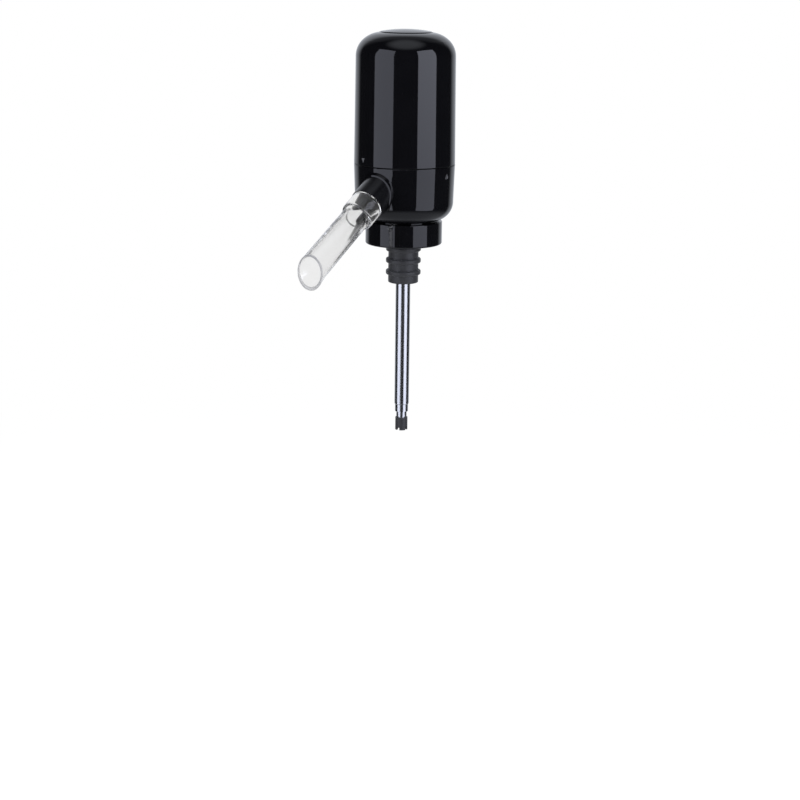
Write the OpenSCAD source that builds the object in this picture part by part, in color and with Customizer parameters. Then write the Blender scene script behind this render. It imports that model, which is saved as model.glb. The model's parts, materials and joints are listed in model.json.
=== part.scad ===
// Electric wine aerator: a battery air pump in a round black case. Its stopper
// plugs a neck, and the pumped air pushes the wine up a telescopic tube and out of
// a clear angled spout. Millimetres, +Z up the body axis, origin on that axis at
// the lower edge of the neck collar, spout towards -Y.

/* [Case] */
// Wall of both shells
shell_wall = 2; // [1.6:0.1:2.4]
// Height of the lower shell, from its flat underside to the seam
lower_h = 30.3; // [29:0.1:34]
// Rounding of the lower shell's bottom edge
bottom_round = 10; // [8:0.1:10.5]
// Rounding of the upper shell's shoulder, next to its side
shoulder_round = 11.5; // [10:0.1:12]
// Wider rounding of the shoulder, next to the button
crown_round = 15; // [13:0.1:17]
// Turn of the first rounding, up to where the wider one takes over, degrees
shoulder_turn = 46; // [40:1:50]
// Draft on the lower shell's radius, seam to bottom edge
lower_draft = 0.65; // [0.2:0.05:0.8]
// Draft on the upper shell's radius, seam to shoulder
upper_draft = 0.55; // [0.2:0.05:0.8]
// Open line between the two shells
seam_gap = 0.25; // [0.1:0.05:0.4]
// Rounding of both edges of that line
seam_round = 0.3; // [0.2:0.05:0.5]
// Turn that frees the upper shell from its bayonet, degrees
twist_turn = 34; // [32:1:40]

/* [Button] */
// Diameter of the push button
button_d = 28; // [24:0.5:28]
// Rise of the button's dome over its rim
button_crown = 1.3; // [0.8:0.1:2.4]
// Thickness of the button in the middle
button_cap_t = 2; // [1.6:0.1:2.4]
// Height of the button's rim over the shell's top
button_rise = 0.3; // [0.1:0.1:0.6]
// Rounding of the button's rim
button_round = 0.8; // [0.4:0.1:1]
// Travel of the button
button_travel = 1.6; // [1:0.1:2]
// Height of the button's retaining flange
button_flange_t = 1.6; // [1.2:0.1:2.2]
// Wire of the button spring
button_wire_d = 0.7; // [0.5:0.05:0.8]

/* [Neck collar and stopper] */
// Outside diameter of the collar
collar_d = 41.5; // [39:0.1:43]
// Height of the collar's skirt
collar_h = 12.5; // [11.5:0.1:14]
// Shadow gap between the collar and the case
collar_step = 0.5; // [0.3:0.1:1.2]
// Inside diameter of the skirt, over the lip that it covers
lip_bore_d = 31.2; // [30.2:0.1:33]
// Depth of the skirt, from its lower edge to the web
lip_depth = 9.4; // [8.6:0.1:9.8]
// Thickness of the silicone washer on that lip
lip_gasket_t = 1.2; // [0.8:0.1:1.6]
// Diameter over the stopper's ribs
stopper_d = 19; // [18.2:0.1:20]
// Length of the stopper below the washer
stopper_len = 29.7; // [24:0.1:34]
// Ribs on the stopper
rib_count = 4; // [3:1:5]
// Flat land on each rib
rib_land = 1.4; // [1:0.1:1.8]
// Depth of the ribs
rib_depth = 1.3; // [0.8:0.1:1.5]

/* [Spout] */
// Slope of the spout below the horizontal, degrees
spout_pitch = 30; // [26:0.5:33]
// Drop from the seam to the point where the spout's axis leaves the case
spout_drop = 14; // [13.2:0.1:15]
// Outside diameter of the black socket
socket_d = 18.3; // [17.6:0.1:19]
// Length of the socket outside the case
socket_reach = 9.2; // [6:0.2:12]
// Bead round the socket, in width
socket_bead_w = 0.8; // [0.6:0.1:1.6]
// Bead round the socket, in height over the case
socket_bead_h = 2; // [0.6:0.1:2.4]
// Outside diameter of the clear spout at its collar
spout_collar_d = 17.6; // [16.8:0.1:18.4]
// Length of the clear collar
spout_collar_len = 10.5; // [8:0.1:14]
// Outside diameter of the clear tube, below the collar
spout_d = 14.8; // [14.4:0.1:15.2]
// Outside diameter of the clear tube, before the flare
spout_end_d = 15.2; // [14.8:0.1:15.6]
// Outside diameter of the flared tip
spout_tip_d = 17; // [16:0.1:18]
// Length of the flare
spout_flare_len = 9; // [6:0.5:14]
// Length of the clear spout outside the socket, on its axis
spout_len = 57.6; // [50:0.1:70]
// Bore of the clear spout
spout_bore_d = 10.8; // [10.2:0.1:11]
// Bore at the flared tip
spout_tip_bore_d = 13.5; // [12.6:0.1:14]
// Outside diameter of the plug that goes into the socket
plug_d = 13.8; // [13.6:0.1:14.2]
// Length of the plug
plug_len = 15; // [13:0.2:16]
// Prongs on the aerating insert
prong_count = 2; // [2:1:4]
// Width of a prong
prong_w = 4.6; // [3:0.1:5]
// Length of the prongs past the socket's mouth
prong_len = 10.6; // [6:0.2:12]

/* [Pick-up tube] */
// Outside diameter of the upper tube
tube_d = 8; // [7.6:0.1:8.4]
// Wall of each tube
tube_wall = 0.35; // [0.25:0.05:0.4]
// Length of the upper tube
tube_len = 97; // [80:1:120]
// Depth of the tube's socket in the manifold
tube_socket_depth = 23; // [18:0.5:25]
// Step by which each smaller tube stands out when pushed in
tube_step = 3; // [2:0.2:5]
// Length of the guide bush at the head of a sliding tube
bush_len = 8; // [6:0.5:9]
// Length of the rolled neck that holds the next tube
neck_len = 4; // [3:0.2:5]
// Height of the notched foot
foot_h = 7; // [6:0.5:10]

/* [Power] */
// Diameter of a cell
cell_d = 10.5; // [10:0.1:11]
// Length of a cell with its nub
cell_len = 44.5; // [43:0.1:47]
// Diameter of the motor
motor_d = 24.2; // [23.6:0.1:25]
// Length of the motor
motor_len = 26; // [22:0.2:28]
// Wall of the cradle between the motor and the cells
cradle_wall = 0.9; // [0.7:0.05:1.2]
// Rubber sleeve round the motor
damper_t = 0.55; // [0.4:0.05:0.8]
// Room between the cradle's cells and the upper shell
cover_room = 1; // [0.7:0.05:1.4]
// Free height of a cell's contact spring
cell_spring_h = 2.6; // [2.4:0.1:3.2]
// Wire of a contact spring
cell_wire_d = 0.5; // [0.4:0.05:0.55]

/* [Pump] */
// Height of the pump's outlet head
head_h = 5.5; // [5:0.1:7]
// Thickness of the valve plate
valve_plate_t = 2; // [1.6:0.1:2.6]
// Thickness of the diaphragm's rim
diaphragm_t = 1.4; // [1:0.1:1.8]
// Height of the pump frame
frame_h = 11.6; // [11.2:0.1:12.4]
// Chambers of the diaphragm
chamber_count = 3; // [2:1:3]
// Bore of the wine way
wine_bore_d = 5.2; // [4.4:0.1:5.6]
// Outside diameter of the air hose
hose_d = 4.8; // [4.4:0.1:5.2]
// Bore of the air hose
hose_bore_d = 3.3; // [3:0.1:3.5]

/* [Clearances] */
// Radial play of a push or running fit
fit_gap = 0.05; // [0.03:0.01:0.08]
// Gap between pieces that move past each other
slip_gap = 0.3; // [0.2:0.05:0.4]
// Play of the button in the shell
button_gap = 0.25; // [0.15:0.05:0.4]

/* [Hidden] */
$fn = 96;

// Overrun of a cut past the face that it opens
over = 1;

// Radii of the case: the motor, its sleeve and the ring of cells set the width
bore_r = motor_d / 2 + damper_t + fit_gap;
cell_play = 0.1;
cell_ring_r = bore_r + cradle_wall + cell_play + cell_d / 2;
case_in_r = cell_ring_r + cell_d / 2 + cover_room;
case_r = case_in_r + shell_wall;
low_r = case_r - lower_draft;
top_r = case_r - upper_draft;

// Heights of the lower half
floor_z = collar_h + collar_step;
floor_top = floor_z + shell_wall;
seam_z = floor_z + lower_h;
seal_t = 1;
seal_w = 3.4;
flange_z = floor_top + seal_t;
flange_t = 2;
flange_top = flange_z + flange_t;

// Spout: stations are distances from the body axis along the spout's own axis
spout_axis_z = seam_z - spout_drop + case_r * tan(spout_pitch);
wall_s = case_r / cos(spout_pitch);
mouth_s = wall_s + socket_reach;
tip_s = mouth_s + spout_len;
plug_s = mouth_s - plug_len;
socket_r = socket_d / 2;
branch_r = 5.6;
branch_end_s = 17;
socket_in_s = 13;
o_ring_r = 0.75;
socket_ring_in = 2.35;
socket_ring_s = socket_in_s + socket_ring_in;
spout_ring_in = 5;
spout_ring_s = plug_s + spout_ring_in;
insert_in = 6;

// Deck of the chassis stands just over the elbow of the wine way
elbow_gap = 0.5;
elbow_drop = 0.9;
elbow_roof = 1.7;
elbow_top = spout_axis_z + elbow_roof;
deck_z = elbow_top + elbow_gap;
deck_t = 2.5;
deck_top = deck_z + deck_t;
deck_r = case_in_r - cover_room;

// Bayonet between the chassis and the upper shell
bayonet_count = 3;
bayonet_arc = 30;
hook_h = 1.8;
lug_h = 1.6;
hook_reach = 1.9;
ring_r = case_in_r - hook_reach;
ring_wall = 1.7;
hook_z = seam_z + seam_gap / 2 + slip_gap;
lug_z = hook_z + hook_h + slip_gap;
skirt_h = 6;
skirt_r = case_in_r - slip_gap - fit_gap;
stop_arc = 3;
stop_play = 1.5;
first_bayonet = 90;
function bayonet_angle(i) = first_bayonet + i * 360 / bayonet_count;
function stop_turn(side) =
    (side > 0 ? twist_turn : 0) + side * (bayonet_arc / 2 + stop_play + stop_arc / 2);

// Heights of the pump, bottom to top
plate_z = deck_top + head_h;
diaphragm_z = plate_z + valve_plate_t;
frame_z = diaphragm_z + diaphragm_t;
motor_z = frame_z + frame_h;
pump_r = motor_d / 2 + damper_t - fit_gap;
frame_wall = 1.4;
frame_plate_t = 2;
chamber_ring_r = 6.8;
chamber_r = 3.4;
chamber_h = 2.6;
rocker_z = frame_z + chamber_h;
rocker_t = 1.6;
rocker_hub_h = 2.6;
rocker_hole_r = 2.3;
eccentric_h = 3.6;
shaft_seat = 1.8;
eccentric_z = rocker_z + rocker_hub_h + slip_gap;
eccentric_r = 4.6;
lobe_r = 4.4;
lobe_offset = 1.4;
shaft_r = 1;
motor_boss_r = 3.2;
motor_boss_h = 1.6;

// Heights of the cells and what stands on them
contact_t = 0.4;
contact_margin = 0.6;
terminal_h = 1.2;
terminal_gap = 0.2;
motor_top = motor_z + motor_len + terminal_h + terminal_gap;
spring_room = max(cell_spring_h, motor_top - deck_top - 2 * contact_t - cell_len);
cap_z = deck_top + 2 * contact_t + spring_room + cell_len;
cap_t = 1.8;
board_z = cap_z + cap_t;
board_t = 1.2;
board_r = 14;
switch_z = board_z + board_t;
switch_base = 1.6;
switch_h = button_travel + switch_base;
plunger_r = 1.75;
plunger_rise = button_travel + slip_gap;
plunger_seat = 1.2;
plunger_top = switch_z + switch_h + plunger_rise;
retainer_gap = 1;
retainer_z = switch_z + switch_h + retainer_gap;
retainer_t = 1.6;
retainer_top = retainer_z + retainer_t;
flange_room = 1;
flange_play = 0.1;
cover_in_z = retainer_top + flange_room + button_travel + button_flange_t + flange_play;
shell_top_z = cover_in_z + shell_wall;
button_r = button_d / 2;
button_wall = 1.6;
button_in_z = shell_top_z + button_rise + button_crown - button_cap_t;
stem_r = 2.4;
spring_turns = 4;
boss_r = 2.3;
retainer_ring_r = button_r + button_wall + boss_r + 3 * slip_gap;
retainer_r = retainer_ring_r + boss_r + fit_gap;
boss_bite = 2.4;
retainer_angles = [30, 150, 270];
spring_stem_gap = 1.6;
spring_r = stem_r + spring_stem_gap;
spring_cup_h = 0.6;
spring_cup_wall = 0.9;

// Screws
screw_r = 1.4;
screw_head_r = 2.6;
screw_head_h = 1.9;
small_screw_r = 1;
small_head_r = 1.9;
small_head_h = 1.1;
screw_play = 0.2;
drive_slot_w = 0.7;
drive_slot_r = 1.56;
case_screw_ring_r = 13;
case_screw_angles = [90, 195, 345];
case_screw_len = 16;
post_r = 3.2;

// Air way: one upright line beside the wine way
air_angle = 30;
air_r = 10.4;
barb_r = hose_bore_d / 2 - fit_gap;
air_bore_r = 0.9;
valve_r = 3.5;
valve_len = 8;
valve_end_t = 2;
valve_wall = 1;
valve_barb_len = 4.5;
air_mid_z = (flange_top + deck_z) / 2;
valve_z = air_mid_z - valve_len / 2;
barb_gap = 0.4;
hose_seat_gap = 0.2;

// Spigot of the manifold, which carries the stopper and the tube
spigot_r = 6.6;
riser_r = 5.4;
gasket_z = lip_depth - lip_gasket_t;
stopper_end_z = gasket_z - stopper_len;
stopper_lip_t = 1.4;
spigot_end_z = stopper_end_z + stopper_lip_t;
stopper_r = stopper_d / 2;
stopper_core_r = stopper_r - rib_depth;
groove_w = 2;
groove_depth = 1.2;
tube_seal_lift = 6.75;
tube_seal_z = spigot_end_z + tube_seal_lift;

// Telescopic tube: each stage fits inside the last
tube_r = tube_d / 2;
tube_top = spigot_end_z + tube_socket_depth;
tube_end = tube_top - tube_len;
bush_t = 0.35;
middle_r = tube_r - tube_wall - bush_t - fit_gap;
head_step = 2;
middle_top = tube_top - head_step;
middle_end = tube_end - tube_step;
lower_r = middle_r - tube_wall - bush_t - fit_gap;
lower_top = middle_top - head_step;
lower_end = middle_end - tube_step;
foot_t = 0.9;

// Round cup standing on its open end, with rounded edges at both ends
module cup(open_r, end_r, h, round_r, open_round = 0) {
    rotate_extrude() {
        polygon([[0, 0], [open_r - open_round, 0], [open_r, open_round], [end_r, h - round_r],
            [end_r - round_r, h], [0, h]]);
        translate([end_r - round_r, h - round_r]) circle(r = round_r);
        if (open_round > 0)
            translate([open_r - open_round, open_round]) circle(r = open_round);
    }
}

// Cup whose rounding passes into a wider one on the way to its closed end
module crowned_cup(open_r, end_r, h, round_r, crown_r, open_round = 0) {
    ray = [cos(shoulder_turn), sin(shoulder_turn)];
    widening = crown_r - round_r;
    side = [end_r - round_r, h - crown_r + widening * ray[1]];
    crown = side - widening * ray;
    rotate_extrude() {
        polygon([[0, 0], [open_r - open_round, 0], [open_r, open_round], [end_r, side[1]],
            side + round_r * ray, [crown[0], h], [0, h]]);
        translate(side) circle(r = round_r);
        intersection() {
            translate(crown) circle(r = crown_r);
            polygon([crown, crown + 2 * crown_r * ray, crown + [0, 2 * crown_r]]);
        }
        if (open_round > 0)
            translate([open_r - open_round, open_round]) circle(r = open_round);
    }
}

// Plain ring on the body axis
module ring(z, h, outer_r, inner_r) {
    difference() {
        translate([0, 0, z]) cylinder(h = h, r = outer_r);
        translate([0, 0, z - over]) cylinder(h = h + 2 * over, r = inner_r);
    }
}

// Part of a ring, centred on an angle
module ring_part(z, h, inner_r, outer_r, arc, angle) {
    rotate([0, 0, angle - arc / 2])
        rotate_extrude(angle = arc)
            translate([inner_r, z]) square([outer_r - inner_r, h]);
}

module torus(z, mid_r, section_r) {
    translate([0, 0, z]) rotate_extrude() translate([mid_r, 0]) circle(r = section_r);
}

module polar(r, angle) {
    rotate([0, 0, angle]) translate([r, 0, 0]) children();
}

module air_line() {
    polar(air_r, air_angle) children();
}

// Places a child's +Z along the spout, from the body axis outwards
module along_spout(s = 0) {
    translate([0, 0, spout_axis_z]) rotate([90 + spout_pitch, 0, 0]) translate([0, 0, s]) children();
}

// Round wire wound from radius r0 at the bottom to r1 at the top
ring_sides = 6;
rings_per_turn = 8;
function coil_centre(i, n, r0, r1, h, turns) =
    let (t = i / n, a = 360 * turns * t, r = r0 + (r1 - r0) * t)
    [r * cos(a), r * sin(a), h * t];
function coil_ring(i, n, r0, r1, h, turns, wire_r) =
    let (t = i / n, a = 360 * turns * t, c = coil_centre(i, n, r0, r1, h, turns))
    [for (k = [0 : ring_sides - 1])
        let (b = 360 * k / ring_sides)
        [c[0] + wire_r * cos(b) * cos(a), c[1] + wire_r * cos(b) * sin(a), c[2] + wire_r * sin(b)]];
function coil_gap(n, r0, r1, h, turns, wire_r) =
    min([for (i = [0 : n - rings_per_turn])
        norm(coil_centre(i, n, r0, r1, h, turns)
            - coil_centre(i + rings_per_turn, n, r0, r1, h, turns))]) - 2 * wire_r;

module coil(r0, r1, h, turns, wire_r) {
    n = turns * rings_per_turn;
    points = [for (i = [0 : n]) each coil_ring(i, n, r0, r1, h - 2 * wire_r, turns, wire_r)];
    sides = [for (i = [0 : n - 1], k = [0 : ring_sides - 1], half = [0, 1])
        let (a = i * ring_sides + k,
            b = i * ring_sides + (k + 1) % ring_sides,
            c = a + ring_sides,
            d = b + ring_sides)
        half == 0 ? [a, c, b] : [b, c, d]];
    foot = [for (k = [1 : ring_sides - 2]) [0, k, k + 1]];
    last = n * ring_sides;
    head = [for (k = [1 : ring_sides - 2]) [last, last + k + 1, last + k]];
    echo("least gap between turns", coil_gap(n, r0, r1, h - 2 * wire_r, turns, wire_r));
    translate([0, 0, wire_r]) polyhedron(points, concat(sides, foot, head));
}

// Upper shell: battery cover with a round shoulder, bayonet hooks and a button
// hole, which has a flat seat for the button's flange inside
module upper_shell() {
    base_z = seam_z + seam_gap / 2;
    h = shell_top_z - base_z;
    seat_r = button_r + button_wall + slip_gap;
    color("#141417") difference() {
        translate([0, 0, base_z])
            crowned_cup(case_r, top_r, h, shoulder_round, crown_round, seam_round);
        difference() {
            translate([0, 0, base_z - over])
                crowned_cup(case_in_r, top_r - shell_wall, h - shell_wall + over,
                    shoulder_round - shell_wall, crown_round - shell_wall);
            for (i = [0 : bayonet_count - 1])
                ring_part(hook_z, hook_h, ring_r + slip_gap, case_r - shell_wall / 2,
                    bayonet_arc, bayonet_angle(i));
            for (a = retainer_angles)
                polar(retainer_ring_r, a)
                    translate([0, 0, retainer_top]) cylinder(h = shell_wall + cover_in_z, r = boss_r);
        }
        translate([0, 0, cover_in_z - over]) cylinder(h = over, r = seat_r);
        translate([0, 0, cover_in_z - over])
            cylinder(h = shell_wall + 2 * over, r = button_r + button_gap);
        for (a = retainer_angles)
            polar(retainer_ring_r, a)
                translate([0, 0, retainer_top - over])
                    cylinder(h = over + boss_bite + screw_play, r = small_screw_r + fit_gap);
    }
}

// Button: domed cap with a retaining flange and a stem down to the switch
module button_cap() {
    dome_r = (pow(button_r, 2) + pow(button_crown, 2)) / (2 * button_crown);
    dome_z = shell_top_z + button_rise + button_crown - dome_r;
    rim_r = button_r - button_round;
    rim_z = dome_z + sqrt(pow(dome_r - button_round, 2) - pow(rim_r, 2));
    meet = dome_r / (dome_r - button_round);
    meet_z = dome_z + (rim_z - dome_z) * meet;
    flange_bottom = cover_in_z - flange_play - button_flange_t;
    stem_z = plunger_top + fit_gap;
    color("#1b1b1f") {
        difference() {
            union() {
                rotate_extrude() {
                    polygon([[0, flange_bottom], [button_r, flange_bottom], [button_r, rim_z],
                        [rim_r * meet, meet_z], [0, meet_z]]);
                    translate([rim_r, rim_z]) circle(r = button_round);
                    intersection() {
                        translate([0, dome_z]) circle(r = dome_r, $fn = 192);
                        translate([0, meet_z]) square(button_r);
                    }
                }
                translate([0, 0, flange_bottom])
                    cylinder(h = button_flange_t, r = button_r + button_wall);
            }
            translate([0, 0, flange_bottom - over])
                cylinder(h = button_in_z - flange_bottom + over, r = button_r - button_wall);
        }
        translate([0, 0, stem_z]) cylinder(h = button_in_z + button_wall / 2 - stem_z, r = stem_r);
    }
}

module button_spring() {
    wire_r = button_wire_d / 2;
    color("silver") translate([0, 0, retainer_top])
        coil(spring_r, spring_r, button_in_z - retainer_top, spring_turns, wire_r);
}

// Plate under the button that carries its spring and guides its stem
module button_retainer() {
    spring_cup_r = spring_r + button_wire_d + slip_gap;
    color("#3a3a3e") difference() {
        union() {
            translate([0, 0, retainer_z]) cylinder(h = retainer_t, r = retainer_r);
            ring(retainer_top, spring_cup_h, spring_cup_r + spring_cup_wall, spring_cup_r);
        }
        translate([0, 0, retainer_z - over]) cylinder(h = retainer_t + 2 * over, r = stem_r + slip_gap);
        for (a = retainer_angles)
            polar(retainer_ring_r, a)
                translate([0, 0, retainer_z - over])
                    cylinder(h = retainer_t + 2 * over, r = small_screw_r + screw_play);
    }
}

module small_screw(z, len) {
    translate([0, 0, z - small_head_h]) cylinder(h = small_head_h, r = small_head_r);
    translate([0, 0, z]) cylinder(h = len, r = small_screw_r);
}

module retainer_screws() {
    color("silver")
        for (a = retainer_angles)
            polar(retainer_ring_r, a) small_screw(retainer_z, retainer_t + boss_bite);
}

// Lower shell: cup with a rounded bottom edge and a slanted hole for the socket
module lower_shell_outer(extra = 0) {
    h = lower_h - seam_gap / 2;
    translate([0, 0, floor_z + h]) mirror([0, 0, 1])
        cup(case_r + extra, low_r + extra, h + extra, bottom_round + extra, seam_round);
}

module lower_shell() {
    h = lower_h - seam_gap / 2;
    color("#141417") difference() {
        union() {
            lower_shell_outer();
            intersection() {
                lower_shell_outer(socket_bead_h);
                along_spout(wall_s / 2) cylinder(h = wall_s, r = socket_r + socket_bead_w);
            }
        }
        translate([0, 0, floor_z + h + over]) mirror([0, 0, 1])
            cup(case_in_r, low_r - shell_wall, h + over - shell_wall, bottom_round - shell_wall);
        along_spout(wall_s / 2) cylinder(h = wall_s, r = socket_r + fit_gap);
        translate([0, 0, floor_z - over])
            cylinder(h = shell_wall + 2 * over, r = spigot_r + fit_gap);
        for (a = case_screw_angles)
            polar(case_screw_ring_r, a)
                translate([0, 0, floor_z - over])
                    cylinder(h = shell_wall + 2 * over, r = screw_r + slip_gap);
    }
}

// Chassis: deck over the wine way, bayonet ring and the three screw posts
module chassis() {
    skirt_z = seam_z - skirt_h;
    color("#4a4a50") difference() {
        union() {
            translate([0, 0, deck_z]) cylinder(h = deck_t, r = deck_r);
            ring(skirt_z, deck_z + deck_t / 2 - skirt_z, ring_r, ring_r - ring_wall);
            ring(skirt_z, skirt_h - slip_gap, skirt_r, ring_r - ring_wall);
            for (i = [0 : bayonet_count - 1]) {
                ring_part(lug_z, lug_h, ring_r - ring_wall / 2, skirt_r,
                    bayonet_arc, bayonet_angle(i));
                for (side = [-1, 1])
                    ring_part(hook_z, lug_z + lug_h - hook_z, ring_r - ring_wall / 2, skirt_r,
                        stop_arc, bayonet_angle(i) + stop_turn(side));
            }
            for (a = case_screw_angles)
                polar(case_screw_ring_r, a)
                    translate([0, 0, flange_top])
                        cylinder(h = deck_z + deck_t / 2 - flange_top, r = post_r);
        }
        along_spout(socket_in_s) cylinder(h = wall_s, r = socket_r + 2 * slip_gap);
        air_line() translate([0, 0, deck_z - over])
            cylinder(h = deck_t + 2 * over, r = barb_r + slip_gap);
        for (a = case_screw_angles)
            polar(case_screw_ring_r, a)
                translate([0, 0, flange_top - over])
                    cylinder(h = case_screw_len + over, r = screw_r + fit_gap);
        ring(deck_z + deck_t / 2 - o_ring_r, 2 * o_ring_r, deck_r + over, deck_r - o_ring_r);
    }
}

module cover_seal() {
    color("#2a2a2c") torus(deck_z + deck_t / 2, deck_r, o_ring_r - fit_gap);
}

// Cradle: upright block with the motor in its bore and a cell in each open pocket
cell_count = 4;
first_cell = 45;
function cell_angle(i) = first_cell + i * 360 / cell_count;
function cap_screw_angle(i) = cell_angle(i) + 180 / cell_count;
cradle_r = cell_ring_r + cell_d / 3;
cap_screw_ring_r = (bore_r + cradle_r) / 2;
cap_screw_bite = 8;
module battery_cradle() {
    h = cap_z - deck_top;
    color("#55555b") difference() {
        translate([0, 0, deck_top]) cylinder(h = h, r = cradle_r);
        translate([0, 0, deck_top - over]) cylinder(h = h + 2 * over, r = bore_r);
        for (i = [0 : cell_count - 1])
            polar(cell_ring_r, cell_angle(i))
                translate([0, 0, deck_top - over])
                    cylinder(h = h + 2 * over, r = cell_d / 2 + cell_play);
        for (i = [0 : cell_count - 1])
            polar(cap_screw_ring_r, cap_screw_angle(i))
                translate([0, 0, cap_z - cap_screw_bite - over])
                    cylinder(h = cap_screw_bite + 2 * over, r = small_screw_r + fit_gap);
    }
}

// One cell, standing on its flat end
module cell() {
    nub_h = 0.8;
    nub_r = 1.9;
    edge = 0.4;
    cylinder(h = edge, r1 = cell_d / 2 - edge, r2 = cell_d / 2);
    translate([0, 0, edge]) cylinder(h = cell_len - nub_h - 2 * edge, r = cell_d / 2);
    translate([0, 0, cell_len - nub_h - edge]) cylinder(h = edge, r1 = cell_d / 2, r2 = cell_d / 2 - edge);
    translate([0, 0, cell_len - nub_h]) cylinder(h = nub_h, r = nub_r);
}

module battery_cells() {
    low_z = deck_top + contact_t;
    color("#8f9aa3")
        for (i = [0 : cell_count - 1])
            polar(cell_ring_r, cell_angle(i)) {
                if (i % 2 == 0)
                    translate([0, 0, low_z + spring_room]) cell();
                else
                    translate([0, 0, low_z + cell_len]) mirror([0, 0, 1]) cell();
            }
}

// Cone springs: the wide end sits on the contact plate, the narrow end on the cell
module battery_springs() {
    low_z = deck_top + contact_t;
    wide_r = 3.8;
    narrow_r = 2.4;
    turns = 2;
    color("silver")
        for (i = [0 : cell_count - 1])
            polar(cell_ring_r, cell_angle(i)) {
                if (i % 2 == 0)
                    translate([0, 0, low_z]) coil(wide_r, narrow_r, spring_room, turns, cell_wire_d / 2);
                else
                    translate([0, 0, low_z + cell_len])
                        coil(narrow_r, wide_r, spring_room, turns, cell_wire_d / 2);
            }
}

module contact_plates() {
    plate_r = cell_d / 2 - contact_margin;
    color("#d8c37a")
        for (i = [0 : cell_count - 1])
            polar(cell_ring_r, cell_angle(i)) {
                translate([0, 0, deck_top]) cylinder(h = contact_t, r = plate_r);
                translate([0, 0, cap_z - contact_t]) cylinder(h = contact_t, r = plate_r);
            }
}

// Cap over the cells, which carries the switch board
lead_x = 6;
lead_r = 0.6;
cap_r = deck_r - contact_margin;
module contact_cap() {
    color("#3a3a3e") difference() {
        translate([0, 0, cap_z]) cylinder(h = cap_t, r = cap_r);
        for (side = [-1, 1])
            translate([side * lead_x, 0, cap_z - over]) cylinder(h = cap_t + 2 * over, r = lead_r + slip_gap);
        for (i = [0 : cell_count - 1])
            polar(cap_screw_ring_r, cap_screw_angle(i))
                translate([0, 0, cap_z - over])
                    cylinder(h = cap_t + 2 * over, r = small_screw_r + screw_play);
    }
}

module cap_screws() {
    color("silver")
        for (i = [0 : cell_count - 1])
            polar(cap_screw_ring_r, cap_screw_angle(i))
                translate([0, 0, board_z]) mirror([0, 0, 1]) small_screw(0, cap_t + cap_screw_bite);
}

module switch_board() {
    color("#1f6b3a") difference() {
        translate([0, 0, board_z]) cylinder(h = board_t, r = board_r);
        for (side = [-1, 1])
            translate([side * lead_x, 0, board_z - over])
                cylinder(h = board_t + 2 * over, r = lead_r + fit_gap);
    }
}

module switch_body() {
    w = 7;
    hole_depth = plunger_seat + button_travel + fit_gap;
    color("#2b2b30") difference() {
        translate([-w / 2, -w / 2, switch_z]) cube([w, w, switch_h]);
        translate([0, 0, switch_z + switch_h - hole_depth])
            cylinder(h = switch_h, r = plunger_r + 2 * fit_gap);
    }
}

module switch_plunger() {
    color("#b9bcc2") translate([0, 0, plunger_top - plunger_rise - plunger_seat])
        cylinder(h = plunger_rise + plunger_seat, r = plunger_r);
}

// Motor, standing on the pump frame with its shaft down
motor_cap_t = 2;
terminal_w = 2;
terminal_t = 0.5;
module motor_can() {
    color("#b4b7bb") difference() {
        union() {
            translate([0, 0, motor_z]) cylinder(h = motor_len - motor_cap_t, r = motor_d / 2);
            translate([0, 0, motor_z - motor_boss_h])
                cylinder(h = motor_boss_h + over, r = motor_boss_r);
        }
        translate([0, 0, motor_z - motor_boss_h - over])
            cylinder(h = motor_len - motor_cap_t, r = shaft_r + fit_gap);
    }
}

module motor_end_cap() {
    top_z = motor_z + motor_len;
    color("#26262a") {
        translate([0, 0, top_z - motor_cap_t]) cylinder(h = motor_cap_t, r = motor_d / 2);
        for (side = [-1, 1])
            translate([side * lead_x - terminal_w / 2, -terminal_t / 2, top_z])
                cube([terminal_w, terminal_t, terminal_h]);
    }
}

module motor_damper() {
    margin = 4;
    color("#303033") difference() {
        translate([0, 0, motor_z + margin])
            cylinder(h = motor_len - 2 * margin, r = bore_r - fit_gap);
        translate([0, 0, motor_z + margin - over])
            cylinder(h = motor_len - 2 * margin + 2 * over, r = motor_d / 2 + fit_gap);
    }
}

module motor_leads() {
    low_z = motor_z + motor_len + terminal_h;
    color("#a02a2a")
        for (side = [-1, 1])
            translate([side * lead_x, 0, low_z]) cylinder(h = switch_z - low_z, r = lead_r);
}

// Rotor: shaft, eccentric and the slanted pin that tips the rocker
pin_r = 0.7;
pin_lean = 12;
pin_offset = 1.6;
pin_seat = 1.5;
pin_len = 3;
module motor_shaft() {
    low_z = eccentric_z + shaft_seat;
    color("silver") translate([0, 0, low_z]) cylinder(h = motor_z + motor_len / 2 - low_z, r = shaft_r);
}

module slanted_pin(r, len) {
    translate([pin_offset, 0, eccentric_z + pin_seat])
        rotate([0, pin_lean, 0]) mirror([0, 0, 1]) cylinder(h = len, r = r);
}

module eccentric() {
    color("#e3e0d6") difference() {
        union() {
            translate([0, 0, eccentric_z]) cylinder(h = eccentric_h, r = eccentric_r);
            translate([lobe_offset, 0, eccentric_z]) cylinder(h = eccentric_h / 2, r = lobe_r);
        }
        translate([0, 0, eccentric_z + shaft_seat]) cylinder(h = eccentric_h, r = shaft_r + fit_gap);
        slanted_pin(pin_r + fit_gap, pin_len + over);
    }
}

module drive_pin() {
    color("silver") slanted_pin(pin_r, pin_len);
}

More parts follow.
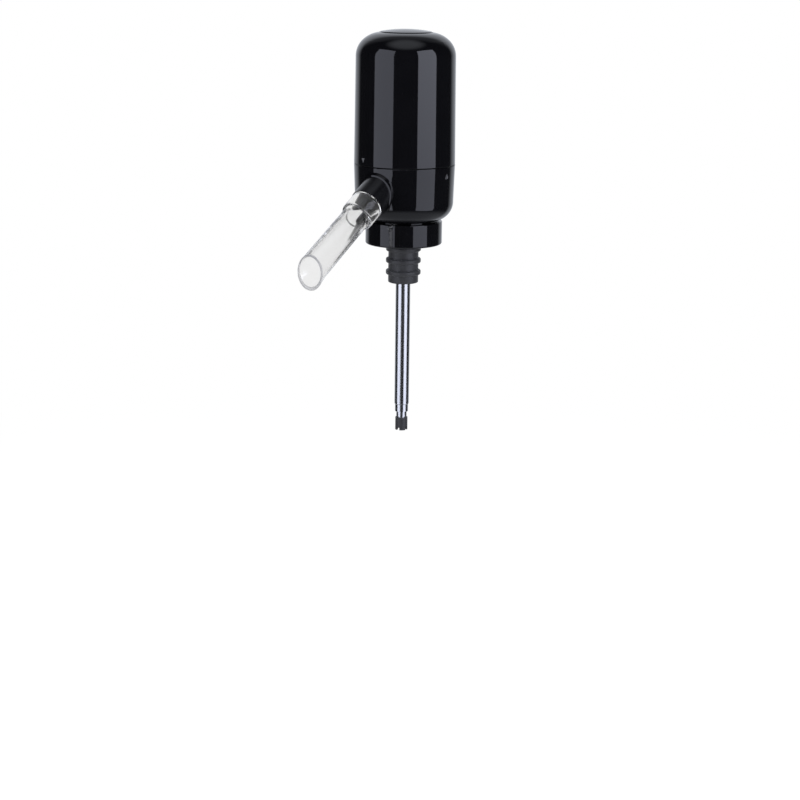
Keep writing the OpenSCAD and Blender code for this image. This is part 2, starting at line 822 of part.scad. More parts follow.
// Pump frame: open cup between the motor and the diaphragm, with side windows
module pump_frame() {
    window_w = 6;
    window_h = 5;
    window_lift = 2.4;
    color("#e3e0d6") difference() {
        translate([0, 0, frame_z]) cylinder(h = frame_h, r = pump_r);
        difference() {
            translate([0, 0, frame_z - over])
                cylinder(h = frame_h - frame_plate_t + over, r = pump_r - frame_wall);
            for (a = pump_screw_angles)
                polar(pump_screw_ring_r, a) translate([0, 0, frame_z]) cylinder(h = frame_h, r = pump_boss_r);
        }
        translate([0, 0, frame_z]) cylinder(h = frame_h + over, r = motor_boss_r + fit_gap);
        for (i = [0 : chamber_count - 1])
            rotate([0, 0, i * 360 / chamber_count])
                translate([0, -window_w / 2, frame_z + window_lift])
                    cube([pump_r + over, window_w, window_h]);
        pump_screw_holes(frame_z, pump_screw_bite);
    }
}

module each_chamber() {
    for (i = [0 : chamber_count - 1])
        polar(chamber_ring_r, i * 360 / chamber_count) children();
}

// Rocker: three arms on a hub that the slanted pin tips round
chamber_stem_r = 0.9;
chamber_top_r = 2.4;
module pump_rocker() {
    hub_r = 3.6;
    hub_floor = 0.4;
    arm_w = 3;
    pad_r = 2.2;
    color("#c9ccd2") difference() {
        union() {
            translate([0, 0, rocker_z]) cylinder(h = rocker_hub_h, r = hub_r);
            for (i = [0 : chamber_count - 1])
                rotate([0, 0, i * 360 / chamber_count])
                    translate([0, -arm_w / 2, rocker_z]) cube([chamber_ring_r, arm_w, rocker_t]);
            each_chamber() translate([0, 0, rocker_z]) cylinder(h = rocker_t, r = pad_r);
        }
        translate([0, 0, rocker_z + hub_floor]) cylinder(h = rocker_hub_h, r = rocker_hole_r);
        each_chamber() translate([0, 0, rocker_z - over])
            cylinder(h = rocker_t + 2 * over, r = chamber_stem_r + fit_gap);
    }
}

// Diaphragm: soft disc with a hollow cone and a stem for each chamber
module pump_diaphragm() {
    skin = 0.8;
    crown = 1;
    stem_end = 0.6;
    color("#6d4a3a") difference() {
        union() {
            translate([0, 0, diaphragm_z]) cylinder(h = diaphragm_t, r = pump_r);
            each_chamber() {
                translate([0, 0, diaphragm_z])
                    cylinder(h = diaphragm_t + chamber_h, r1 = chamber_r, r2 = chamber_top_r);
                translate([0, 0, rocker_z - over])
                    cylinder(h = rocker_t + over + stem_end, r = chamber_stem_r);
            }
        }
        each_chamber() translate([0, 0, diaphragm_z - over])
            cylinder(h = over + diaphragm_t + chamber_h - crown, r1 = chamber_r - skin,
                r2 = chamber_top_r - skin);
        pump_screw_holes(diaphragm_z, diaphragm_t);
    }
}

pump_screw_inset = 1.9;
pump_screw_ring_r = pump_r - pump_screw_inset;
pump_screw_angles = [60, 180, 300];
pump_screw_bite = 5;
pump_boss_r = 1.8;
module pump_screw_holes(z, h) {
    for (a = pump_screw_angles)
        polar(pump_screw_ring_r, a)
            translate([0, 0, z - over]) cylinder(h = h + 2 * over, r = small_screw_r + fit_gap);
}

module valve_plate() {
    port_r = 0.6;
    port_offset = 1.3;
    color("#e3e0d6") difference() {
        translate([0, 0, plate_z]) cylinder(h = valve_plate_t, r = pump_r);
        each_chamber() for (side = [-1, 1])
            translate([side * port_offset, 0, plate_z - over])
                cylinder(h = valve_plate_t + 2 * over, r = port_r);
        pump_screw_holes(plate_z, valve_plate_t);
    }
}

module valve_flaps() {
    flap_t = 0.5;
    flap_r = 2.4;
    color("#6d4a3a") each_chamber()
        translate([0, 0, plate_z - flap_t]) cylinder(h = flap_t, r = flap_r);
}

// Outlet head: chamber under the valves and the barb that goes down to the hose
module pump_head() {
    barb_end = valve_z + valve_len + valve_barb_len + barb_gap;
    room_depth = 2;
    room_margin = 2.6;
    duct_z = plate_z - room_depth / 2;
    color("#e3e0d6") difference() {
        union() {
            translate([0, 0, deck_top]) cylinder(h = head_h, r = pump_r);
            air_line() translate([0, 0, barb_end]) cylinder(h = deck_top - barb_end + over, r = barb_r);
        }
        translate([0, 0, plate_z - room_depth])
            cylinder(h = room_depth + over, r = chamber_ring_r + room_margin);
        air_line() translate([0, 0, barb_end - over])
            cylinder(h = duct_z - barb_end + over, r = air_bore_r);
        polar(chamber_ring_r, air_angle) translate([0, 0, duct_z]) rotate([0, 90, 0])
            cylinder(h = air_r - chamber_ring_r, r = air_bore_r);
        pump_screw_holes(deck_top, head_h);
    }
}

module pump_screws() {
    low_z = deck_top + slip_gap;
    color("silver")
        for (a = pump_screw_angles)
            polar(pump_screw_ring_r, a)
                translate([0, 0, low_z])
                    cylinder(h = frame_z + pump_screw_bite - low_z, r = small_screw_r);
}

module hose(z0, z1) {
    air_line() difference() {
        translate([0, 0, z0]) cylinder(h = z1 - z0, r = hose_d / 2);
        translate([0, 0, z0 - over]) cylinder(h = z1 - z0 + 2 * over, r = hose_bore_d / 2);
    }
}

module air_hose_upper() {
    color("#c9d0d6") hose(valve_z + valve_len + hose_seat_gap, deck_z - hose_seat_gap);
}

// One-way valve between the two hoses
module check_valve() {
    color("#d9dde2") air_line() difference() {
        union() {
            translate([0, 0, valve_z]) cylinder(h = valve_len, r = valve_r);
            translate([0, 0, valve_z - valve_barb_len])
                cylinder(h = valve_len + 2 * valve_barb_len, r = barb_r);
        }
        translate([0, 0, valve_z - valve_barb_len - over])
            cylinder(h = valve_len + 2 * (valve_barb_len + over), r = air_bore_r);
        translate([0, 0, valve_z + valve_end_t])
            cylinder(h = valve_len - 2 * valve_end_t, r = valve_r - valve_wall);
    }
}

module air_hose_lower() {
    color("#c9d0d6") hose(flange_top + hose_seat_gap, valve_z - hose_seat_gap);
}

// Manifold: spigot for the stopper and the tube, elbow to the spout, air way
module wine_manifold() {
    bore_r = wine_bore_d / 2;
    barb_end = valve_z - valve_barb_len - barb_gap;
    air_z = flange_z + flange_t / 2;
    color("#d9dde2") difference() {
        union() {
            translate([0, 0, spigot_end_z]) cylinder(h = flange_z - spigot_end_z + over, r = spigot_r);
            translate([0, 0, flange_z]) cylinder(h = flange_t, r = case_screw_ring_r + post_r);
            translate([0, 0, flange_z]) cylinder(h = elbow_top - flange_z, r = riser_r);
            along_spout(0) cylinder(h = branch_end_s, r = branch_r);
            air_line() translate([0, 0, flange_z]) cylinder(h = barb_end - flange_z, r = barb_r);
        }
        translate([-case_r, -case_r, elbow_top]) cube([2 * case_r, 2 * case_r, case_r]);
        translate([0, 0, spigot_end_z - over])
            cylinder(h = tube_socket_depth + over, r = tube_r + fit_gap);
        translate([0, 0, tube_top - over])
            cylinder(h = spout_axis_z - elbow_drop - tube_top + over, r = bore_r);
        along_spout(bore_r) cylinder(h = branch_end_s, r = bore_r);
        ring(tube_seal_z - o_ring_r, 2 * o_ring_r, tube_r + 2 * o_ring_r, tube_r);
        air_line() translate([0, 0, air_z]) cylinder(h = barb_end, r = air_bore_r);
        rotate([0, 0, air_angle]) {
            translate([spigot_r - groove_depth, 0, air_z]) rotate([0, 90, 0])
                cylinder(h = air_r - spigot_r + groove_depth, r = air_bore_r);
            translate([spigot_r - groove_depth, -groove_w / 2, spigot_end_z - over])
                cube([groove_depth + over, groove_w, air_z - spigot_end_z + over]);
        }
        for (a = case_screw_angles)
            polar(case_screw_ring_r, a)
                translate([0, 0, flange_z - over])
                    cylinder(h = flange_t + 2 * over, r = screw_r + slip_gap);
    }
}

module manifold_seal() {
    color("#7d7f84") ring(floor_top, seal_t, spigot_r + seal_w, spigot_r + fit_gap);
}

// Socket: black sleeve through the shell, pushed over the manifold's branch
module spout_socket() {
    step_s = branch_end_s + over;
    mouth_bevel = 0.6;
    hole_r = plug_d / 2 + fit_gap;
    stop_w = 2;
    color("#18181b") along_spout(0) difference() {
        translate([0, 0, socket_in_s]) cylinder(h = mouth_s - socket_in_s, r = socket_r);
        translate([0, 0, socket_in_s - over])
            cylinder(h = step_s - socket_in_s + over, r = branch_r + fit_gap);
        translate([0, 0, socket_in_s]) cylinder(h = mouth_s, r = plug_d / 2 - stop_w);
        translate([0, 0, plug_s - slip_gap]) cylinder(h = plug_len + slip_gap + over, r = hole_r);
        translate([0, 0, mouth_s - mouth_bevel])
            cylinder(h = 2 * mouth_bevel, r1 = hole_r, r2 = hole_r + 2 * mouth_bevel);
        ring(socket_ring_s - o_ring_r, 2 * o_ring_r, branch_r + 2 * o_ring_r, branch_r);
    }
}

module socket_o_ring() {
    color("#2a2a2c") along_spout(0)
        torus(socket_ring_s, branch_r + o_ring_r, o_ring_r - fit_gap);
}

// Clear spout: plug with an O-ring groove, stop collar, flared tube cut upright
module spout_tube() {
    collar_r = spout_collar_d / 2;
    collar_s = mouth_s + fit_gap;
    tube_s = mouth_s + spout_collar_len;
    edge = 0.8;
    flare_s = tip_s - spout_flare_len / 2;
    past = spout_tip_d;
    tip_y = tip_s * cos(spout_pitch);
    flare_k = (spout_tip_d - spout_end_d) / 2 / spout_flare_len;
    bore_k = (spout_tip_bore_d - spout_bore_d) / 2 / (tip_s - tube_s);
    color([0.9, 0.94, 0.96, 0.45]) difference() {
        along_spout(0) {
            translate([0, 0, plug_s]) cylinder(h = plug_len + over, r = plug_d / 2);
            translate([0, 0, collar_s]) cylinder(h = spout_collar_len - edge - fit_gap, r = collar_r);
            translate([0, 0, tube_s - edge]) cylinder(h = edge, r1 = collar_r, r2 = collar_r - edge);
            translate([0, 0, tube_s - over])
                cylinder(h = flare_s - tube_s + over, r1 = spout_d / 2, r2 = spout_end_d / 2);
            translate([0, 0, flare_s])
                cylinder(h = past, r1 = spout_end_d / 2, r2 = spout_end_d / 2 + flare_k * past);
        }
        along_spout(0) {
            translate([0, 0, plug_s - over]) cylinder(h = tube_s - plug_s + 2 * over, r = spout_bore_d / 2);
            translate([0, 0, tube_s])
                cylinder(h = spout_len + past, r1 = spout_bore_d / 2,
                    r2 = spout_bore_d / 2 + bore_k * (spout_len + past));
            ring(spout_ring_s, 2 * o_ring_r, plug_d / 2 + over, plug_d / 2 - o_ring_r);
        }
        translate([-spout_tip_d, -tip_y - 3 * past, -3 * past])
            cube([2 * spout_tip_d, 3 * past, spout_axis_z + 3 * past]);
    }
}

module spout_o_ring() {
    room = o_ring_r + fit_gap;
    color("#2a2a2c") along_spout(0)
        torus(spout_ring_s + o_ring_r, plug_d / 2 + fit_gap - room / 2, (room - fit_gap / 2) / 2);
}

// Bar with a round end, from the axis outwards
module prong() {
    straight = prong_len + over - prong_w / 2;
    translate([0, -prong_w / 2, mouth_s - over]) cube([spout_bore_d, prong_w, straight]);
    translate([0, 0, mouth_s - over + straight]) rotate([0, 90, 0])
        cylinder(h = spout_bore_d, r = prong_w / 2);
}

// Aerating insert: ring in the plug with prongs that break up the stream
module aerator_insert() {
    outer_r = spout_bore_d / 2 - fit_gap;
    prong_t = 1.3;
    prong_angle = 90;
    ring_t = 2;
    ring_s = plug_s + insert_in;
    color("#18181b") along_spout(0) {
        ring(ring_s, mouth_s - ring_s, outer_r, outer_r - ring_t);
        intersection() {
            ring(mouth_s - over, prong_len + 2 * over, outer_r, outer_r - prong_t);
            for (i = [0 : prong_count - 1])
                rotate([0, 0, prong_angle + i * 360 / prong_count]) prong();
        }
    }
}

// Collar: skirt round the lip, with a web that the screws pull up
module neck_collar() {
    r = collar_d / 2;
    low_round = 0.9;
    top_round = 0.5;
    neck_r = low_r - bottom_round - slip_gap;
    color("#141417") difference() {
        union() {
            rotate_extrude() {
                polygon([[0, 0], [r - low_round, 0], [r, low_round], [r, collar_h - top_round],
                    [r - top_round, collar_h], [0, collar_h]]);
                translate([r - low_round, low_round]) circle(r = low_round);
                translate([r - top_round, collar_h - top_round]) circle(r = top_round);
            }
            cylinder(h = floor_z, r = neck_r);
        }
        translate([0, 0, -over]) cylinder(h = lip_depth + over, r = lip_bore_d / 2);
        cylinder(h = floor_z + over, r = spigot_r + fit_gap);
        for (a = case_screw_angles)
            polar(case_screw_ring_r, a) {
                translate([0, 0, lip_depth - over])
                    cylinder(h = screw_head_h + over, r = screw_head_r + screw_play);
                cylinder(h = floor_z + over, r = screw_r + slip_gap);
            }
    }
}

module case_screws() {
    color("silver")
        for (a = case_screw_angles)
            polar(case_screw_ring_r, a) translate([0, 0, lip_depth]) difference() {
                union() {
                    cylinder(h = screw_head_h, r = screw_head_r);
                    cylinder(h = flange_top - lip_depth + case_screw_len - over, r = screw_r);
                }
                for (turn = [0, 90])
                    rotate([0, 0, turn]) translate([-drive_slot_r, -drive_slot_w / 2, -over])
                        cube([2 * drive_slot_r, drive_slot_w, over + screw_head_h / 2]);
            }
}

module lip_gasket() {
    color("#7d7f84") ring(gasket_z, lip_gasket_t, lip_bore_d / 2 - 2 * slip_gap, spigot_r + fit_gap);
}

// Stopper: silicone plug whose ribs grip the bore of the neck
rib_flank = 1;
rib_first = 3;
rib_h = rib_land + 2 * rib_flank;
rib_tail = 4;
rib_pitch = (stopper_len - rib_first - rib_h - rib_tail) / (rib_count - 1);
function rib_z(i) = gasket_z - rib_first - i * rib_pitch;
module neck_stopper() {
    nose = 1.2;
    color("#8b8d92") difference() {
        rotate_extrude() {
            polygon([[0, gasket_z], [stopper_core_r, gasket_z],
                [stopper_core_r, stopper_end_z + nose], [stopper_core_r - nose, stopper_end_z],
                [0, stopper_end_z]]);
            for (i = [0 : rib_count - 1])
                polygon([[0, rib_z(i)], [stopper_core_r, rib_z(i)],
                    [stopper_r, rib_z(i) - rib_flank], [stopper_r, rib_z(i) - rib_flank - rib_land],
                    [stopper_core_r, rib_z(i) - rib_h], [0, rib_z(i) - rib_h]]);
        }
        translate([0, 0, spigot_end_z]) cylinder(h = stopper_len, r = spigot_r + fit_gap);
        translate([0, 0, stopper_end_z - over]) cylinder(h = stopper_len, r = tube_r + slip_gap);
        polar(spigot_r - groove_depth / 2, air_angle)
            translate([0, 0, stopper_end_z - over]) cylinder(h = stopper_lip_t + 2 * over, r = air_bore_r);
    }
}

module tube_seal() {
    color("#2a2a2c") torus(tube_seal_z, tube_r + o_ring_r, o_ring_r - fit_gap);
}

// Outline of a tube with a rolled neck that guides the next, smaller tube
module stage(top_z, end_z, r, next_r) {
    roll = r - tube_wall - next_r - fit_gap;
    rotate_extrude() polygon([
        [r - tube_wall, top_z], [r, top_z], [r, end_z + neck_len + roll],
        [r - roll, end_z + neck_len], [r - roll, end_z],
        [next_r + fit_gap, end_z], [next_r + fit_gap, end_z + neck_len],
        [r - tube_wall, end_z + neck_len + roll]]);
}

module tube_upper() {
    color("#c4c7ca") stage(tube_top, tube_end, tube_r, middle_r);
}

module tube_middle() {
    color("#c4c7ca") stage(middle_top, middle_end, middle_r, lower_r);
}

module bush(top_z, r) {
    ring(top_z - bush_len, bush_len, r + bush_t, r + fit_gap / 2);
}

module middle_bush() {
    color("#e3e0d6") bush(middle_top, middle_r);
}

module tube_lower() {
    color("#c4c7ca") ring(lower_end, lower_top - lower_end, lower_r, lower_r - tube_wall);
}

module lower_bush() {
    color("#e3e0d6") bush(lower_top, lower_r);
}

// Foot: soft tip with notches, so that it can't seal itself on the bottom
module tube_foot() {
    seat = tube_step - 2 * slip_gap;
    notch = 1.8;
    low_z = lower_end + seat - foot_h;
    color("#8b8d92") difference() {
        translate([0, 0, low_z]) cylinder(h = foot_h, r = lower_r + foot_t);
        translate([0, 0, lower_end]) cylinder(h = foot_h, r = lower_r + fit_gap / 2);
        translate([0, 0, low_z - over]) cylinder(h = foot_h, r = lower_r - tube_wall);
        for (turn = [0, 90])
            rotate([0, 0, turn])
                translate([-case_r, -notch / 2, low_z - over]) cube([2 * case_r, notch, over + notch]);
    }
}

upper_shell();
button_cap();
button_spring();
button_retainer();
retainer_screws();
lower_shell();
chassis();
cover_seal();
battery_cradle();
battery_cells();
battery_springs();
contact_plates();
contact_cap();
cap_screws();
switch_board();
switch_body();
switch_plunger();
motor_can();
motor_end_cap();
motor_damper();
motor_shaft();
motor_leads();
eccentric();
drive_pin();
pump_frame();
pump_rocker();
pump_diaphragm();
valve_plate();
valve_flaps();
pump_head();
pump_screws();
air_hose_upper();
check_valve();
air_hose_lower();
wine_manifold();
manifold_seal();
spout_socket();
socket_o_ring();
spout_tube();
spout_o_ring();
aerator_insert();
neck_collar();
case_screws();
lip_gasket();
neck_stopper();
tube_seal();
tube_upper();
tube_middle();
middle_bush();
tube_lower();
lower_bush();
tube_foot();
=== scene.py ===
"""Looks of an electric wine aerator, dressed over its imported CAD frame."""

import json
import math

import bmesh
import bpy
from bpy.props import FloatProperty, FloatVectorProperty, IntProperty, PointerProperty
from mathutils import Matrix, Vector
from mathutils.bvhtree import BVHTree


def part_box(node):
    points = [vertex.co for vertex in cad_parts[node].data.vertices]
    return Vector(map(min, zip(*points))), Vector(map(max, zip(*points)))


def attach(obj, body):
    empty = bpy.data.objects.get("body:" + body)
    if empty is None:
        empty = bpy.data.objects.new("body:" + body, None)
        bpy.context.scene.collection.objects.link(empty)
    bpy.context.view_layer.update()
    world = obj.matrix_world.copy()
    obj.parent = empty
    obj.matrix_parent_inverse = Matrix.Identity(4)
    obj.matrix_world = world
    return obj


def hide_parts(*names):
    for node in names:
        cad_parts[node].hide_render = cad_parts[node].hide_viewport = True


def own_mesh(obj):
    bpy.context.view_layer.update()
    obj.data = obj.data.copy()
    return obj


bl_info = {
    "name": "Electric Wine Aerator",
    "version": (1, 0, 0),
    "blender": (4, 5, 0),
    "location": "View3D > Sidebar > Aerator",
    "description": "Finishes, clear spout, stopper, springs, screws and studio of a wine aerator",
    "category": "Object",
}

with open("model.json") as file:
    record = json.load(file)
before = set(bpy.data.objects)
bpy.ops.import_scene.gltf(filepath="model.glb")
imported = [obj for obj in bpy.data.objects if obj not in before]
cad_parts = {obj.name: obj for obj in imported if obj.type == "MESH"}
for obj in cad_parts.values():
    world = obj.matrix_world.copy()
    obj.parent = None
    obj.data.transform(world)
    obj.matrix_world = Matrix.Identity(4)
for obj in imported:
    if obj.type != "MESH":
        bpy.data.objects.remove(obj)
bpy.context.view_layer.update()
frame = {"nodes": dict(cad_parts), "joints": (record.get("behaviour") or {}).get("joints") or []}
NODES = frame["nodes"]
JOINTS = {joint["name"]: joint for joint in frame["joints"]}
UP = Vector((0.0, 0.0, 1.0))

# Steps round the spout, round a small arc or fillet, and along the clear wall
RING_STEPS = 160
ARC_STEPS = 6
FILLET_STEPS = 5
WALL_STEPS = 8
# Steps of a turn and sides of the wire, in springs and in threads
COIL_STEPS, COIL_SIDES = 48, 14
THREAD_STEPS, THREAD_SIDES = 20, 4
# Sides of the stopper's hoops, of rods and the vent, of screw heads and of the floor
HOOP_SIDES, ROD_SIDES, HEAD_SIDES, FLOOR_SIDES = 128, 24, 32, 96
# Points nearer than this are merged, in new meshes and in copies of CAD solids
MERGE, CAD_MERGE = 1e-7, 1e-6
# Edges that turn further than this stay sharp
SHARP = math.radians(40.0)

PLASTIC_IOR = 1.49
# Part of a noise that is spread over a finish, and the detail of its smudges and of its grain
NOISE_MIDDLE = (0.3, 0.7)
SMUDGE_DETAIL, GRAIN_DETAIL = 4.0, 2.0
# Sockets of a Mix node for colours
MIX_FACTOR, MIX_FIRST, MIX_SECOND, MIX_RESULT = 0, 6, 7, 2
WHITE = (1.0, 1.0, 1.0, 1.0)

# Share of the rim's bulge that is frosted
FROSTED = 0.9
# Radius on which the prints are laid out, and distance from which they are thrown on a shell
PRINT_RADIUS, PRINT_REACH = 0.027, 0.1
# Lock: half width and height of its plate, as shares of a mark's height
LOCK_HALF, LOCK_PLATE = 0.42, 0.6
# Its bow: radii as shares of that half width, foot as a share of the plate's height
BOW_OUTER, BOW_INNER, BOW_FOOT, BOW_STEPS = 0.75, 0.42, 1.08, 8

# Stopper: rounding as a share of the lip, rounding of the lip, sunk share of a rib's depth,
# rounding as a share of a rib's width, and depth of the vent as a share of the lip
SLEEVE_ROUND, LIP_ROUND, RIB_SUNK, RIB_ROUND, VENT_DEPTH = 0.45, 0.0002, 0.6, 0.3, 3.0

# Screws: root of the thread as a share of the shank, and its wire as a share of its height
THREAD_ROOT, THREAD_WIRE = 0.82, 0.98
# Face of the head, and length and width of its recess, as shares of the head's radius
HEAD_FACE, RECESS_LENGTH, RECESS_WIDTH = 0.78, 1.1, 0.26
# Sets of screws: node, body, head height, shank radius, and whether the head is on top
SCREW_SETS = (
    ("retainer_screws", "cover", 0.0011, 0.001, False),
    ("cap_screws", "case", 0.0011, 0.001, True),
    ("case_screws", "case", 0.0019, 0.0014, False),
)

SENSOR_WIDTH = 36.0
# Bounces deep enough for light that is caught in the clear wall
BOUNCES = {"max_bounces": 96, "glossy_bounces": 64, "transmission_bounces": 64}
# Lights that show in the gloss: cosines between which each fades out, slope up to the sky's
# middle, and the light that is left outside them
WALL_EDGE = (0.55, 0.78)
SKY_EDGE, SKY_SLOPE = (0.6, 0.85), 0.6
OVERHEAD_EDGE = (0.81, 0.985)
TABLE_EDGE = (0.38, 0.75)
GLOW_LEFT = 0.005
# Floor: radius, own light, colour, and distances between which it fades into white
FLOOR_RADIUS, FLOOR_GLOW = 2.4, 0.82
FLOOR_GREY = (0.5, 0.5, 0.5, 1.0)
FLOOR_FADE = (0.35, 0.8)
# Soft boxes: name, degrees from the camera's heading, width, brightness, and its share at the foot
SOFT_BOXES = (
    ("Left soft box", -50.5, 0.96, 0.92, 0.9),
    ("Right soft box", 51.0, 0.92, 1.42, 0.62),
)
BOX_DISTANCE, BOX_RISE, BOX_HEIGHT = 1.1, 0.215, 1.5
# Heights between which they reach their full strength
BOX_FADE = (-0.17, 0.05)


def length(name, default, description):
    """A size in metres."""
    return FloatProperty(
        name=name, description=description, default=default, unit="LENGTH", precision=5
    )


def share(name, default, description):
    """A plain number from nought upwards."""
    return FloatProperty(name=name, description=description, default=default, min=0.0)


def angle(name, degrees, description):
    """A turn, kept in radians."""
    return FloatProperty(
        name=name, description=description, default=math.radians(degrees), subtype="ANGLE"
    )


def colour(name, default, description):
    """A linear colour."""
    return FloatVectorProperty(
        name=name, description=description, default=default, subtype="COLOR", min=0.0, max=1.0
    )


class CaseSettings(bpy.types.PropertyGroup):
    """Finish of the shells, the button and the collar, and the small marks beside the seam."""

    black: colour("Case", (0.0034, 0.0034, 0.0042), "High-gloss black of the shells and the collar")
    button: colour("Button", (0.005, 0.005, 0.0065), "Black of the push button")
    socket: colour("Socket", (0.0055, 0.0055, 0.0065), "Black of the socket and the insert")
    gloss: share("Gloss", 0.035, "Lowest roughness of the polished case")
    button_dull: share("Button dullness", 1.6, "Roughness of the button against the case's")
    mark: colour("Marks", (0.1, 0.1, 0.105), "Grey print of the arrow and the lock")
    mark_height: length("Mark height", 0.0026, "Height of the arrow, which sets the lock's size")
    mark_relief: length("Mark relief", 0.00003, "How far the print stands over the shell")
    arrow_azimuth: angle("Arrow", -20.0, "Where the arrow stands round the upper shell")
    arrow_rise: length("Arrow rise", 0.0016, "Height of the arrow's point over the seam")
    lock_azimuth: angle("Lock", 90.5, "Where the lock stands round the lower shell")
    lock_drop: length("Lock drop", 0.0065, "Drop from the seam to the lock's lower edge")


class SpoutSettings(bpy.types.PropertyGroup):
    """Sizes of the clear spout, which are those of its solid, with its moulded edges rounded."""

    plug_radius: length("Plug radius", 0.0069, "Radius of the plug that goes into the socket")
    plug_length: length("Plug length", 0.015, "Length of that plug")
    groove_start: length("Groove", 0.005, "Distance of the O-ring's groove from the plug's end")
    groove_width: length("Groove width", 0.0015, "Width of the groove")
    groove_depth: length("Groove depth", 0.00075, "Depth of the groove")
    collar_radius: length("Collar radius", 0.0088, "Radius of the collar that stops at the socket")
    collar_length: length("Collar length", 0.0105, "Length of the collar")
    tube_radius: length("Tube radius", 0.0074, "Radius of the tube below the collar")
    end_radius: length("End radius", 0.0076, "Radius of the tube where the flare starts")
    tip_radius: length("Tip radius", 0.0085, "Radius of the flared tip")
    flare_length: length("Flare", 0.009, "Length over which the tip flares")
    bore_radius: length("Bore radius", 0.0054, "Radius of the bore in the collar")
    tip_bore_radius: length("Tip bore", 0.00675, "Radius of the bore at the tip")
    edge: length("Edge", 0.0008, "Rounding of the collar's edge")
    seat: length("Seat", 0.00005, "Gap between the collar and the socket's mouth")
    rim_bulge: length("Rim bulge", 0.0006, "How far the rounded rim bulges")
    tint: colour("Tint", (0.995, 0.995, 0.995), "Tint of the clear plastic")
    rim: colour("Rim", (0.6, 0.59, 0.565), "Colour of the frosted rim")
    clarity: share("Clarity", 0.35, "Light that passes through the frosted rim")


class StopperSettings(bpy.types.PropertyGroup):
    """Sizes and finish of the ribbed silicone stopper."""

    rib_count: IntProperty(name="Ribs", description="Ribs that grip the neck", default=4, min=2)
    rib_first: length("First rib", 0.0047, "Drop from the top to the middle of the first rib")
    rib_tail: length("Last rib", 0.0057, "Distance from the last rib's middle to the bottom")
    rib_width: length("Rib width", 0.0026, "Width of a rib at its root")
    rib_depth: length("Rib depth", 0.0013, "Height of a rib over the core")
    bore_radius: length("Bore", 0.00665, "Radius of the bore over the spigot")
    lip: length("Lip", 0.0014, "Thickness of the lip below the spigot")
    lip_radius: length("Lip radius", 0.0043, "Radius of the hole in the lip")
    vent_radius: length("Vent", 0.0009, "Radius of the air vent in the lip")
    vent_ring: length("Vent place", 0.006, "Distance of the vent from the body axis")
    vent_turn: angle("Vent turn", 30.0, "Where the vent is round that axis")
    silicone: colour("Silicone", (0.028, 0.028, 0.03), "Dark silicone of the stopper and the foot")


class HardwareSettings(bpy.types.PropertyGroup):
    """Springs, screws and the finish of the inner pieces."""

    steel: colour("Steel", (0.6, 0.61, 0.62), "Drawn stainless steel")
    brass: colour("Contacts", (0.62, 0.47, 0.2), "Plated brass of the contacts")
    wrap: colour("Cells", (0.1, 0.12, 0.15), "Wrap of the cells")
    board: colour("Board", (0.02, 0.12, 0.05), "Solder mask of the switch board")
    frame_grey: colour("Frame", (0.055, 0.055, 0.06), "Grey plastic of the chassis and the cradle")
    pump_white: colour("Pump", (0.68, 0.68, 0.64), "Natural plastic of the pump")
    rubber: colour("Rubber", (0.02, 0.02, 0.021), "Rubber of the seals")
    hose: colour("Hose", (0.55, 0.58, 0.6), "Milky silicone of the hoses")
    lead: colour("Leads", (0.32, 0.02, 0.02), "Insulation of the motor's leads")
    button_wire: length("Button wire", 0.0007, "Wire of the button's spring")
    button_turns: share("Button turns", 4.0, "Turns of the button's spring")
    cell_wire: length("Contact wire", 0.0005, "Wire of the contact springs")
    cell_turns: share("Contact turns", 2.0, "Turns of a contact spring")
    cell_wide: length("Contact foot", 0.0038, "Radius of a contact spring on its plate")
    cell_narrow: length("Contact tip", 0.0024, "Radius of a contact spring at the cell")
    thread_pitch: length("Thread", 0.0008, "Pitch of the screws' threads")


class StageSettings(bpy.types.PropertyGroup):
    """Camera, lamps and ground of the studio."""

    azimuth: angle("Azimuth", 34.0, "Heading of the camera round the part")
    distance: length("Distance", 1.019, "Level distance from the body axis to the camera")
    height: length("Camera height", 0.1685, "Height of the camera over the collar's lower edge")
    pitch: angle("Pitch", 14.135, "How far the camera looks down")
    roll: angle("Roll", 0.7, "Lean of the frame")
    pan: angle("Pan", 0.05, "Turn of the camera away from the body axis")
    lens: share("Lens", 85.2, "Focal length in millimetres")
    ground: length("Ground", -0.2735, "Height of the floor, below the tube at its longest")
    ambient: share("Ambient", 0.32, "Soft light from all round")
    wall: share("Wall", 0.66, "Brightness of the wall behind the part in its gloss")
    sky: share("Sky", 0.2, "Brightness of the upper part of that wall, added to it")
    overhead: share("Overhead", 0.74, "Brightness of the soft light over the part in its gloss")
    overhead_rise: angle("Overhead rise", 76.0, "Height of that light on the camera's side")
    table: share("Table", 0.45, "Brightness of the table below the part in its gloss")
    softbox: share("Soft boxes", 1.9, "Brightness of the two tall soft boxes")
    through: share("Through", 0.85, "Brightness of the white that clear plastic shows")
    backdrop: colour("Backdrop", (0.88, 0.92, 1.0), "Cool colour of what the gloss shows")
    tint: colour("Lamps", (0.82, 0.85, 1.0), "Cool colour of the soft boxes")


def settings(name):
    """The scene's settings of one group."""
    return getattr(bpy.context.scene, "aerator_" + name)


def outwards(turn):
    """Level direction at a turn round the body axis, counted from the spout's side."""
    return Vector((math.sin(turn), -math.cos(turn), 0.0))


def bare_tree(block):
    """The emptied node tree of a material or a world."""
    block.use_nodes = True
    block.node_tree.nodes.clear()
    return block.node_tree


def add_node(tree, kind, inputs=(), **fields):
    """A node with its fields set, and each input a value, a socket or a list of sockets."""
    node = tree.nodes.new(kind)
    for key, value in fields.items():
        setattr(node, key, value)
    for key, value in dict(inputs).items():
        for feed in value if isinstance(value, list) else [value]:
            if isinstance(feed, bpy.types.NodeSocket):
                tree.links.new(feed, node.inputs[key])
            else:
                node.inputs[key].default_value = feed
    return node


